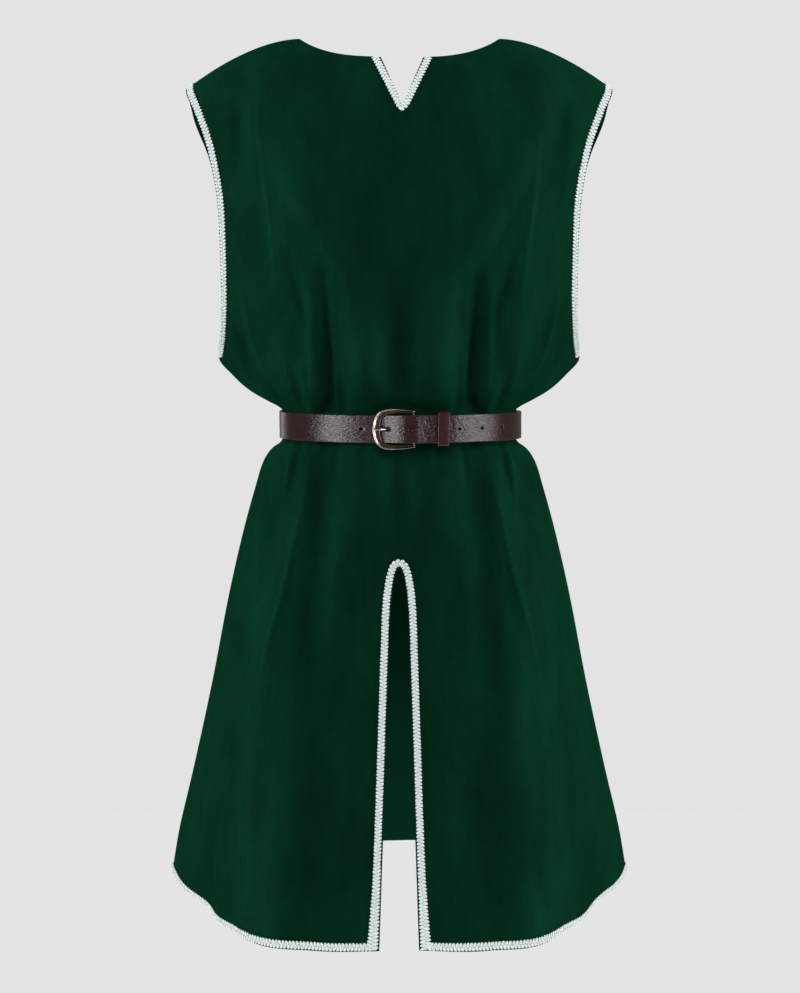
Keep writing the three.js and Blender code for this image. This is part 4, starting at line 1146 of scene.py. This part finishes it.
def buckle_body():
    """The open rim of the buckle: a raised round bead outside, hollowed towards the strap inside."""
    lower = FRAME_LINE[:-1][::-1] * (1, -1, 1)
    samples = catmull_rom(np.concatenate([FRAME_LINE, lower]), 9)
    ahead = np.gradient(samples[:, :2], axis=0)
    out = unit(np.stack([ahead[:, 1], -ahead[:, 0]], axis=1))
    tip, rim = FRAME_LINE[0], FRAME_LINE[-1]
    lengths = np.concatenate([[0], np.cumsum(np.linalg.norm(np.diff(samples[:, :2], axis=0), axis=1))])
    from_end = np.minimum(lengths, lengths[-1] - lengths)
    points, marks = [], []
    for (along, up, width), (out_along, out_up), near in zip(samples, out, from_end):
        t = (along - rim[0]) / (tip[0] - rim[0])
        lift = FRAME["rim_lift"] + (FRAME["bar_lift"] - FRAME["rim_lift"]) * t
        thick = FRAME["thin"] + (FRAME["thick"] - FRAME["thin"]) * width / rim[2]
        full = math.sqrt(1 - (1 - min(near / RIM_END["reach"], 1)) ** 2)
        full = full * (1 - RIM_END["blunt"]) + RIM_END["blunt"]
        for across, rise in RIM_SECTION:
            a = along + out_along * across * width / 2 * full
            b = up + out_up * across * width / 2 * full
            points.append(on_belt(a, b, lift + rise * thick / 2 * full))
            marks.append((across, near, rise))
    size = len(RIM_SECTION)
    faces = ring_faces(len(samples), size) + end_faces(len(samples), size)
    bar_ends = [(BAR["along"], up, BAR["lift"]) for up in (-BAR["half"], BAR["half"])]
    bar, bar_faces = round_rod(bar_ends, [BAR["radius"]] * 2)
    faces += [[v + len(points) for v in face] for face in bar_faces]
    rubbed_all_over = (1, 9, 1)
    marks += [rubbed_all_over] * len(bar)
    return np.concatenate([np.array(points), bar]), faces, {"rubbed": marks}


def round_rod(places, radii, ring=14):
    """A round rod through (along, up, lift) places with a radius at each."""
    line = np.array([on_belt(a, u, l) for a, u, l in places])
    ahead = unit(np.gradient(line, axis=0))
    tangent = belt_axes(places[0][0])[2]
    side = tangent if abs(ahead[0][2]) > 0.5 else np.array([0, 0, 1.0])
    sides = unit(np.cross(ahead, np.cross(np.tile(side, (len(line), 1)), ahead)))
    normals = np.cross(sides, ahead)
    angles = np.linspace(0, math.tau, ring, endpoint=False)
    rings = [[(r * math.cos(a), r * math.sin(a)) for a in angles] for r in radii]
    return sweep(line, normals, sides, rings)


PRONG_TIP = {"reach": 1.3, "round": 0.93}


def prong_body():
    """The prong: an eye round the bar, and a shank that ends in a rounded tip on the rim."""
    line = catmull_rom(PRONG_LINE, 8)
    lengths = np.concatenate([[0], np.cumsum(np.linalg.norm(np.diff(line, axis=0), axis=1))])
    left = lengths[-1] - lengths
    tip = 1 - np.minimum(left / PRONG_TIP["reach"], 1)
    radii = PRONG["thick"] / 2 * np.sqrt(1 - tip ** 2 * PRONG_TIP["round"])
    points, faces = round_rod([(a, 0, l) for a, l in line], radii)
    turn = np.linspace(0, math.tau, 25)[:-1]
    middle = (PRONG["ring_inner"] + PRONG["ring_outer"]) / 2
    thick = (PRONG["ring_outer"] - PRONG["ring_inner"]) / 2
    profile = rounded_loop(PRONG["thick"] / 2, thick, PRONG["edge"], 3)
    eye = []
    for angle in turn:
        for across, away in profile:
            reach = middle + away
            along = BAR["along"] + reach * math.cos(angle)
            eye.append(on_belt(along, across, BAR["lift"] + reach * math.sin(angle)))
    faces = faces + ring_faces(len(turn), len(profile), start=len(points), closed=True)
    return np.concatenate([points, np.array(eye)]), faces


# ---------------------------------------------------------------- materials
def linear(text, alpha=1):
    """An sRGB hex colour as linear numbers."""
    values = [int(text[i:i + 2], 16) / 255 for i in (0, 2, 4)]
    return tuple(v / 12.92 if v <= 0.04045 else ((v + 0.055) / 1.055) ** 2.4 for v in values) + (alpha,)


def node(tree, kind, values=None, links=None, **settings):
    """Adds a node: settings are its own choices, values constants on its sockets, links what feeds them."""
    made = tree.nodes.new(kind)
    for name, value in settings.items():
        setattr(made, name, value)
    for name, value in (values or {}).items():
        made.inputs[name].default_value = value
    for name, source in (links or {}).items():
        tree.links.new(source, made.inputs[name])
    return made


def new_material(name):
    material = bpy.data.materials.new(name)
    material.use_nodes = True
    material.node_tree.nodes.clear()
    return material, material.node_tree


# At a scale of 1 a wave texture repeats once in this many units of the place it is given.
WAVE_PER_STEP = 0.31


def ramp(tree, factor, stops):
    """Colours or greys between stops of (place, sRGB hex)."""
    made = node(tree, "ShaderNodeValToRGB", links={"Fac": factor})
    elements = made.color_ramp.elements
    while len(elements) < len(stops):
        elements.new(0.5)
    for element, (place, colour) in zip(elements, stops):
        element.position = place
        element.color = linear(colour)
    return made.outputs["Color"]


def finish_material(tree, shader):
    node(tree, "ShaderNodeOutputMaterial", links={"Surface": shader.outputs["BSDF"]})


def cotton_colour(tree, clouds, nap):
    """Deep green, clouded by the nap, with painted light and shade: lighter where the cloth turns to the
    side and on ridges and crests, darker in the folds. The reverse is one plain green, made lighter than the
    face as painted light for the inside that the lamps hardly reach."""
    broad = node(tree, "ShaderNodeMath", {1: 0.65}, {0: clouds.outputs["Fac"]}, operation="MULTIPLY")
    both = node(
        tree, "ShaderNodeMath", {1: 0.35}, {0: nap.outputs["Fac"], 2: broad.outputs[0]},
        operation="MULTIPLY_ADD",
    )
    brushed = ramp(tree, both.outputs[0], [(0.32, "041e12"), (0.48, "052416"), (0.68, "062b1b")])
    marks = node(tree, "ShaderNodeAttribute", attribute_name="face").outputs["Vector"]
    parts = node(tree, "ShaderNodeSeparateXYZ", links={"Vector": marks})
    # The face's colour scaled by its painted light and shade.
    painted_lit = node(
        tree, "ShaderNodeVectorMath", links={0: brushed, "Scale": parts.outputs["Y"]}, operation="SCALE",
    )
    # The reverse's plain green is lighter than the face: painted light for the inside.
    return node(
        tree, "ShaderNodeMix", {"B": linear("063020")},
        {"Factor": parts.outputs["X"], "A": painted_lit.outputs["Vector"]}, data_type="RGBA",
    ).outputs["Result"]


def cotton_relief(tree, place, nap):
    """The weave's twill, the fibres of the pile on it, and over both the way the nap lies."""
    fibres = node(
        tree, "ShaderNodeTexNoise", {"Scale": 900, "Detail": 3, "Roughness": 0.7}, {"Vector": place},
    )
    twill = node(
        tree, "ShaderNodeTexWave",
        {"Scale": WAVE_PER_STEP / 0.0012, "Distortion": 1.2, "Detail": 2, "Detail Scale": 3},
        {"Vector": place}, wave_type="BANDS", bands_direction="DIAGONAL",
    )
    weave = node(
        tree, "ShaderNodeBump", {"Strength": 0.12, "Distance": 0.0003}, {"Height": twill.outputs["Fac"]},
    )
    pile = node(
        tree, "ShaderNodeBump", {"Strength": 0.25, "Distance": 0.0005},
        {"Height": fibres.outputs["Fac"], "Normal": weave.outputs["Normal"]},
    )
    return node(
        tree, "ShaderNodeBump", {"Strength": 0.25, "Distance": 0.002},
        {"Height": nap.outputs["Fac"], "Normal": pile.outputs["Normal"]},
    )


def brushed_cotton():
    """Dark green cotton sateen, brushed to a short nap: matt and deep in colour, with painted light that
    makes it lighter on ridges and where the cloth turns to the side and darker in the folds, and cloudy
    where the nap lies another way. The weave's 0.5 mm threads are drawn 1.2 mm apart."""
    material, tree = new_material("brushed_cotton_sateen")
    place = node(tree, "ShaderNodeTexCoord").outputs["Object"]
    along = node(tree, "ShaderNodeMapping", {"Scale": (1, 1, 0.35)}, {"Vector": place}).outputs["Vector"]
    clouds = node(
        tree, "ShaderNodeTexNoise", {"Scale": 22, "Detail": 5, "Roughness": 0.6}, {"Vector": along},
    )
    nap = node(tree, "ShaderNodeTexNoise", {"Scale": 170, "Detail": 4, "Roughness": 0.65}, {"Vector": along})
    colour = cotton_colour(tree, clouds, nap)
    rough = node(
        tree, "ShaderNodeMapRange", {"From Min": 0.35, "From Max": 0.65, "To Min": 0.5, "To Max": 0.62},
        {"Value": nap.outputs["Fac"]},
    )
    lie = cotton_relief(tree, place, nap)
    shader = node(
        tree, "ShaderNodeBsdfPrincipled",
        {
            "IOR": 1.5, "Specular IOR Level": 0.0, "Sheen Weight": 0.015, "Sheen Roughness": 0.4,
            "Sheen Tint": linear("20d090"),
        },
        {"Base Color": colour, "Roughness": rough.outputs["Result"], "Normal": lie.outputs["Normal"]},
    )
    finish_material(tree, shader)
    return material


def viscose_gimp():
    """Off-white viscose braid: bright, faintly silky cords of twisted thread, with grey-green shade painted
    into the colour on the cords' lower sides and on the tape down in the gaps. The thread's 0.4 mm twist is
    drawn
    0.8 mm apart."""
    material, tree = new_material("plaited_viscose_gimp")
    place = node(tree, "ShaderNodeTexCoord").outputs["Object"]
    strand = node(tree, "ShaderNodeAttribute", attribute_name="strand").outputs["Vector"]
    height = node(tree, "ShaderNodeSeparateXYZ", links={"Vector": strand}).outputs["Z"]
    flat = node(tree, "ShaderNodeMapping", {"Scale": (1, 1, 0)}, {"Vector": strand}).outputs["Vector"]
    twist = node(
        tree, "ShaderNodeTexWave", {"Scale": WAVE_PER_STEP / 0.8, "Distortion": 0.6, "Detail": 1},
        {"Vector": flat}, wave_type="BANDS", bands_direction="DIAGONAL",
    )
    patches = node(
        tree, "ShaderNodeTexNoise", {"Scale": 120, "Detail": 3, "Roughness": 0.6}, {"Vector": place},
    )
    colour = ramp(tree, patches.outputs["Fac"], [(0.3, "ccd5d2"), (0.5, "d4dbd9"), (0.75, "dbe2e0")])
    # Painted shade: grey-green on the cords' lower sides and on the tape, where the gaps between them lie.
    deep = node(
        tree, "ShaderNodeMapRange", {"From Min": 0.7, "From Max": -0.2, "To Min": 0, "To Max": 1},
        {"Value": height},
    )
    painted_gap_shade = node(
        tree, "ShaderNodeMix", {"B": linear("b9c5c0")}, {"Factor": deep.outputs["Result"], "A": colour},
        data_type="RGBA",
    )
    wound = node(
        tree, "ShaderNodeMix", {"Factor": 0.07},
        {"A": painted_gap_shade.outputs["Result"], "B": twist.outputs["Color"]},
        data_type="RGBA", blend_type="MULTIPLY",
    )
    relief = node(
        tree, "ShaderNodeBump", {"Strength": 0.25, "Distance": 0.0003}, {"Height": twist.outputs["Fac"]},
    )
    shader = node(
        tree, "ShaderNodeBsdfPrincipled",
        {"IOR": 1.53, "Roughness": 0.55, "Specular IOR Level": 0.3},
        {"Base Color": wound.outputs["Result"], "Normal": relief.outputs["Normal"]},
    )
    finish_material(tree, shader)
    return material


# The two sets of creases: slant in degrees, length and width in millimetres.
BOARDING = ((38, 9, 2.3), (-44, 8, 2.5))


def boarded_creases(tree, strap):
    """Two sets of slanting creases that cross each other, as boarding leaves them."""
    creases = []
    for angle, long, wide in BOARDING:
        slant = node(
            tree, "ShaderNodeMapping", {"Rotation": (0, 0, math.radians(angle)), "Scale": (long, wide, 1)},
            {"Vector": strap}, vector_type="TEXTURE",
        ).outputs["Vector"]
        noise = node(
            tree, "ShaderNodeTexNoise", {"Scale": 1, "Detail": 2, "Roughness": 0.5}, {"Vector": slant},
        )
        creases.append(noise.outputs["Fac"])
    return node(
        tree, "ShaderNodeMath", links={0: creases[0], 1: creases[1]}, operation="MULTIPLY",
    ).outputs[0]


def leather_relief(tree, place, crossed, scars):
    """The pebbled grain, and over it the creases, as strong as scars."""
    grain = node(
        tree, "ShaderNodeTexVoronoi", {"Scale": 900, "Randomness": 0.9}, {"Vector": place},
        feature="SMOOTH_F1",
    )
    pebbles = node(
        tree, "ShaderNodeBump", {"Strength": 0.25, "Distance": 0.0002},
        {"Height": grain.outputs["Distance"]},
    )
    return node(
        tree, "ShaderNodeBump", {"Strength": scars, "Distance": 0.00095},
        {"Height": crossed, "Normal": pebbles.outputs["Normal"]},
    )


def bridle_leather(name, scars):
    """Dark red-brown bridle leather, dyed, boarded, waxed and glazed: dark face with a fine pebbled grain,
    and slanting creases crossing each other that break up its shine, and slightly paler rubbed edges.
    The grain's 0.6 mm cells are drawn 1.1 mm wide, and the creases' 1 mm steps 2.4 mm."""
    material, tree = new_material(name)
    place = node(tree, "ShaderNodeTexCoord").outputs["Object"]
    strap = node(tree, "ShaderNodeAttribute", attribute_name="strap").outputs["Vector"]
    parts = node(tree, "ShaderNodeSeparateXYZ", links={"Vector": strap})
    clouds = node(
        tree, "ShaderNodeTexNoise", {"Scale": 70, "Detail": 4, "Roughness": 0.6}, {"Vector": place},
    )
    crossed = boarded_creases(tree, strap)
    colour = ramp(tree, clouds.outputs["Fac"], [(0.3, "1d0708"), (0.55, "280a0b"), (0.75, "331011")])
    rubbed = node(
        tree, "ShaderNodeMapRange", {"From Min": 0.1, "From Max": 1.1, "To Min": 0.3, "To Max": 0},
        {"Value": parts.outputs["Z"]},
    )
    worn = node(
        tree, "ShaderNodeMix", {"B": linear("573833")}, {"Factor": rubbed.outputs["Result"], "A": colour},
        data_type="RGBA",
    )
    rough = node(
        tree, "ShaderNodeMapRange", {"From Min": 0.15, "From Max": 0.4, "To Min": 0.17, "To Max": 0.25},
        {"Value": crossed},
    )
    strained = leather_relief(tree, place, crossed, scars)
    shader = node(
        tree, "ShaderNodeBsdfPrincipled",
        {"IOR": 1.5, "Specular IOR Level": 0.5, "Coat Weight": 0.06, "Coat Roughness": 0.18},
        {
            "Base Color": worn.outputs["Result"], "Roughness": rough.outputs["Result"],
            "Normal": strained.outputs["Normal"],
        },
    )
    finish_material(tree, shader)
    return material


def rubbed_bare(tree, across, film):
    """How far the film is rubbed off: fully on the bead, in part on the inner edge, with uneven limits."""
    uneven = node(
        tree, "ShaderNodeMath", {1: 0.3}, {0: film.outputs["Fac"], 2: across}, operation="MULTIPLY_ADD",
    )
    bead = node(
        tree, "ShaderNodeMapRange", {"From Min": 0.36, "From Max": 0.62, "To Min": 0, "To Max": 1},
        {"Value": uneven.outputs[0]}, interpolation_type="SMOOTHSTEP",
    )
    lip = node(
        tree, "ShaderNodeMapRange", {"From Min": -0.72, "From Max": -0.82, "To Min": 0, "To Max": 0.6},
        {"Value": uneven.outputs[0]},
    )
    return node(
        tree, "ShaderNodeMath", links={0: bead.outputs["Result"], 1: lip.outputs["Result"]},
        operation="MAXIMUM",
    )


def antiqued_nickel_brass():
    """Cast brass with a nickel wash, blackened and then rubbed back by hand: bright and slightly warm on the
    raised bead and the inner edge, with fine polishing lines 0.7 mm apart, and a duller brown film left in
    the hollow beside the strap."""
    material, tree = new_material("antiqued_nickel_washed_brass")
    place = node(tree, "ShaderNodeTexCoord").outputs["Object"]
    rubbed = node(tree, "ShaderNodeAttribute", attribute_name="rubbed").outputs["Vector"]
    across = node(tree, "ShaderNodeSeparateXYZ", links={"Vector": rubbed}).outputs["X"]
    film = node(tree, "ShaderNodeTexNoise", {"Scale": 260, "Detail": 4, "Roughness": 0.6}, {"Vector": place})
    lines = node(tree, "ShaderNodeMapping", {"Scale": (1, 1, 0.12)}, {"Vector": place}).outputs["Vector"]
    polish = node(
        tree, "ShaderNodeTexNoise", {"Scale": 1400, "Detail": 2, "Roughness": 0.6}, {"Vector": lines},
    )
    bare = rubbed_bare(tree, across, film)
    bright = ramp(tree, film.outputs["Fac"], [(0.3, "a9a196"), (0.55, "cbc5bb"), (0.8, "dedad2")])
    dark = ramp(tree, film.outputs["Fac"], [(0.3, "4a382f"), (0.55, "5d4a40"), (0.8, "6e5a4e")])
    colour = node(
        tree, "ShaderNodeMix", links={"Factor": bare.outputs[0], "A": dark, "B": bright}, data_type="RGBA",
    ).outputs["Result"]
    rough = node(
        tree, "ShaderNodeMapRange", {"From Min": 0, "From Max": 1, "To Min": 0.38, "To Max": 0.2},
        {"Value": bare.outputs[0]},
    )
    relief = node(
        tree, "ShaderNodeBump", {"Strength": 0.12, "Distance": 0.0002}, {"Height": polish.outputs["Fac"]},
    )
    shader = node(
        tree, "ShaderNodeBsdfPrincipled", {"Metallic": 1},
        {"Base Color": colour, "Roughness": rough.outputs["Result"], "Normal": relief.outputs["Normal"]},
    )
    finish_material(tree, shader)
    return material


def studio_card():
    """Matt painted studio card, evenly pale, with a trace of mottling."""
    material, tree = new_material("matt_studio_card")
    place = node(tree, "ShaderNodeTexCoord").outputs["Object"]
    mottle = node(tree, "ShaderNodeTexNoise", {"Scale": 2, "Detail": 2}, {"Vector": place})
    colour = ramp(tree, mottle.outputs["Fac"], [(0.3, "2c2c2c"), (0.7, "2e2e2e")])
    shader = node(
        tree, "ShaderNodeBsdfPrincipled",
        {
            "Roughness": 0.9, "Specular IOR Level": 0.0, "Emission Color": linear("ffffff"),
            "Emission Strength": 0.757,
        },
        {"Base Color": colour},
    )
    finish_material(tree, shader)
    return material


# ---------------------------------------------------------------- the pieces
cloth = brushed_cotton()
gimp = viscose_gimp()
strap_leather = bridle_leather("glazed_bridle_leather", 0.9)
keeper_leather = bridle_leather("glazed_bridle_leather_keeper", 0.12)
metal = antiqued_nickel_brass()

SIDES = {side: Side(side) for side in ("front", "back")}
TOP_ROW = SIDES["front"].rows - 1


def cloth_piece(side, part):
    rows = (0, SEAM_ROW) if part == "skirt" else (SEAM_ROW + 1, TOP_ROW)
    made, walls, marks = shell(*SIDES[side].part(*rows))
    name = f"{side}_{part}"
    return new_piece(f"{name}_cloth", made, walls, [cloth], [name], marks)


front_bodice = cloth_piece("front", "bodice")
front_skirt = cloth_piece("front", "skirt")
back_bodice = cloth_piece("back", "bodice")
back_skirt = cloth_piece("back", "skirt")


def braid_piece(name, line, width, nodes, wider=None):
    points, faces, marks = gimp_braid(line, width, wider)
    return new_piece(name, points, faces, [gimp], nodes, marks)


def slit_braid():
    x, z = slit_line()
    return braid_piece("slit_braid", lifted(*on_front(x, z)), BRAID_WIDTH["slit"], ["slit_trim"], splayed)


def notch_braid():
    x, z = notch_line()
    points, normals = on_front(x, z)
    middle = len(points) // 2
    first = tucked(points[:middle + 1][::-1], normals[:middle + 1][::-1])[::-1]
    second = tucked(points[middle:], normals[middle:])
    line = np.concatenate([first[:-1], second])
    return braid_piece("neck_notch_braid", line, BRAID_WIDTH["notch"], ["neck_notch_trim"])


def armhole_braid(hand, name, node_name):
    """Up the front edge of an armhole, over the shoulder seam and down the back edge."""
    share = 1 - (EDGE + BRAID_WIDTH["armhole"] / 2) / STRIP["armhole"]
    parts = []
    for side in ("front", "back"):
        rows = np.arange(ARMPIT_ROW, TOP_ROW + 1)
        inner, inner_normal = SIDES[side].station(hand, rows, TRIM_COLUMN)
        outer, outer_normal = SIDES[side].station(hand, rows, -1)
        points = inner + (outer - inner) * share
        normals = unit(inner_normal + (outer_normal - inner_normal) * share)
        parts.append((points, normals))
    (front_points, front_normals), (back_points, back_normals) = parts
    points = np.concatenate([front_points, back_points[::-1]])
    normals = np.concatenate([front_normals, back_normals[::-1]])
    return braid_piece(name, lifted(points, normals), BRAID_WIDTH["armhole"], [node_name])


def hem_line(side, hand, first_column):
    """Along half a hem from a column out to the side seam."""
    share = (HEM_EDGE + BRAID_WIDTH["hem"] / 2) / STRIP["hem"]
    columns = np.arange(first_column, SIDES[side].columns)
    trim_row = int(np.argmin(np.abs(LEVELS - LOWER_LEVELS[1])))
    low, low_normal = SIDES[side].station(hand, 0, columns)
    high, high_normal = SIDES[side].station(hand, trim_row, columns)
    return low + (high - low) * share, unit(low_normal + (high_normal - low_normal) * share)


def hem_braids():
    made = []
    for hand, word in enumerate(("left", "right")):
        points, normals = hem_line("front", hand, STRIP_COLUMNS)
        name = f"hem_braid_front_{word}"
        line = lifted(points, normals)
        made.append(braid_piece(name, line, BRAID_WIDTH["hem"], [f"hem_trim_front_{word}"]))
    left, left_normals = hem_line("back", 0, 0)
    right, right_normals = hem_line("back", 1, 0)
    points = np.concatenate([left[::-1], right[1:]])
    normals = np.concatenate([left_normals[::-1], right_normals[1:]])
    line = lifted(points, normals)
    made.append(braid_piece("hem_braid_back", line, BRAID_WIDTH["hem"], ["hem_trim_back"]))
    return made


slit_trim = slit_braid()
notch_trim = notch_braid()
armhole_trims = [
    armhole_braid(0, "armhole_braid_left", "armhole_trim_left"),
    armhole_braid(1, "armhole_braid_right", "armhole_trim_right"),
]
hem_left, hem_right, hem_back = hem_braids()

strap_points, strap_faces, strap_marks = strap_body()
strap = new_piece(
    "belt_strap_leather", strap_points, strap_faces, [strap_leather], ["belt_strap"], strap_marks,
)
cut_holes(strap, "strap")
keeper_points, keeper_faces, keeper_marks = keeper_body()
new_piece(
    "belt_keeper_leather", keeper_points, keeper_faces, [keeper_leather], ["belt_keeper"],
    keeper_marks,
)
frame_points, frame_faces, frame_marks = buckle_body()
new_piece(
    "buckle_frame_metal", frame_points, frame_faces, [metal], ["buckle_frame"], frame_marks,
)
prong_points, prong_faces = prong_body()
prong_marks = {"rubbed": [(1, 9, 1)] * len(prong_points)}
new_piece(
    "buckle_prong_metal", prong_points, prong_faces, [metal], ["buckle_prong"], prong_marks,
)


# ---------------------------------------------------------------- studio
FLOOR = {"z": -1.45, "half": 1.7}
AIM = (0, 0, -0.45)
LIGHTS = (
    # name, azimuth from the front towards +X, elevation, distance, width, height, watts
    ("left_box", -43, 4, 2.2, 0.66, 2.2, 40),
    ("right_box", 57, 4, 2.2, 0.74, 2.2, 33),
    ("left_rim", -135, 6, 2.2, 0.5, 2.0, 5),
    ("left_side", -80, 14, 2.2, 0.7, 2.0, 28.5),
    ("right_side", 80, 14, 2.2, 0.7, 2.0, 31),
    ("overhead", 0, 50, 2.1, 1.6, 1.2, 35),
    ("behind", 180, 12, 2.2, 1.4, 2.0, 16),
    ("underneath", 0, -78, 1.0, 1.3, 1.3, 9),
)
# The tall boxes are there for the shine on leather and metal, the side lights for cloth and braid.
GLOSS_ONLY = ("left_box", "right_box", "left_rim")
MATT_ONLY = ("left_side", "right_side", "overhead", "behind", "underneath")
DAYLIGHT = (0.95, 0.98, 1.0)


def add_floor():
    half, z = FLOOR["half"], FLOOR["z"]
    mesh = bpy.data.meshes.new("floor")
    corners = [(-half, -half, z), (half, -half, z), (half, half, z), (-half, half, z)]
    mesh.from_pydata(corners, [], [(0, 1, 2, 3)])
    mesh.materials.append(studio_card())
    floor = bpy.data.objects.new("floor", mesh)
    bpy.context.scene.collection.objects.link(floor)


def add_lights():
    for name, azimuth, elevation, distance, width, height, watts in LIGHTS:
        data = bpy.data.lights.new(name, "AREA")
        data.shape = "RECTANGLE"
        data.size = width
        data.size_y = height
        data.energy = watts
        data.color = DAYLIGHT
        light = bpy.data.objects.new(name, data)
        turn, rise = math.radians(azimuth), math.radians(elevation)
        away = (math.sin(turn) * math.cos(rise), -math.cos(turn) * math.cos(rise), math.sin(rise))
        light.location = [aim + distance * step for aim, step in zip(AIM, away)]
        light.rotation_euler = (math.pi / 2 - rise, 0, turn)
        light.visible_camera = False
        light.visible_diffuse = name not in GLOSS_ONLY
        light.visible_glossy = name not in MATT_ONLY
        bpy.context.scene.collection.objects.link(light)


def add_world():
    """Pale grey behind everything, and a weaker even glow for the light that reaches the object."""
    world = bpy.data.worlds.new("studio")
    world.use_nodes = True
    tree = world.node_tree
    tree.nodes.clear()
    seen = node(tree, "ShaderNodeBackground", {"Color": linear("e3e3e3"), "Strength": 1})
    glow = node(tree, "ShaderNodeBackground", {"Color": linear("e3e3e3"), "Strength": 0.26})
    ray = node(tree, "ShaderNodeLightPath")
    both = node(tree, "ShaderNodeMixShader", links={"Fac": ray.outputs["Is Camera Ray"]})
    tree.links.new(glow.outputs["Background"], both.inputs[1])
    tree.links.new(seen.outputs["Background"], both.inputs[2])
    node(tree, "ShaderNodeOutputWorld", links={"Surface": both.outputs["Shader"]})
    bpy.context.scene.world = world


add_floor()
add_lights()
add_world()
bpy.context.scene.view_settings.view_transform = "Standard"
bpy.context.scene.view_settings.look = "None"
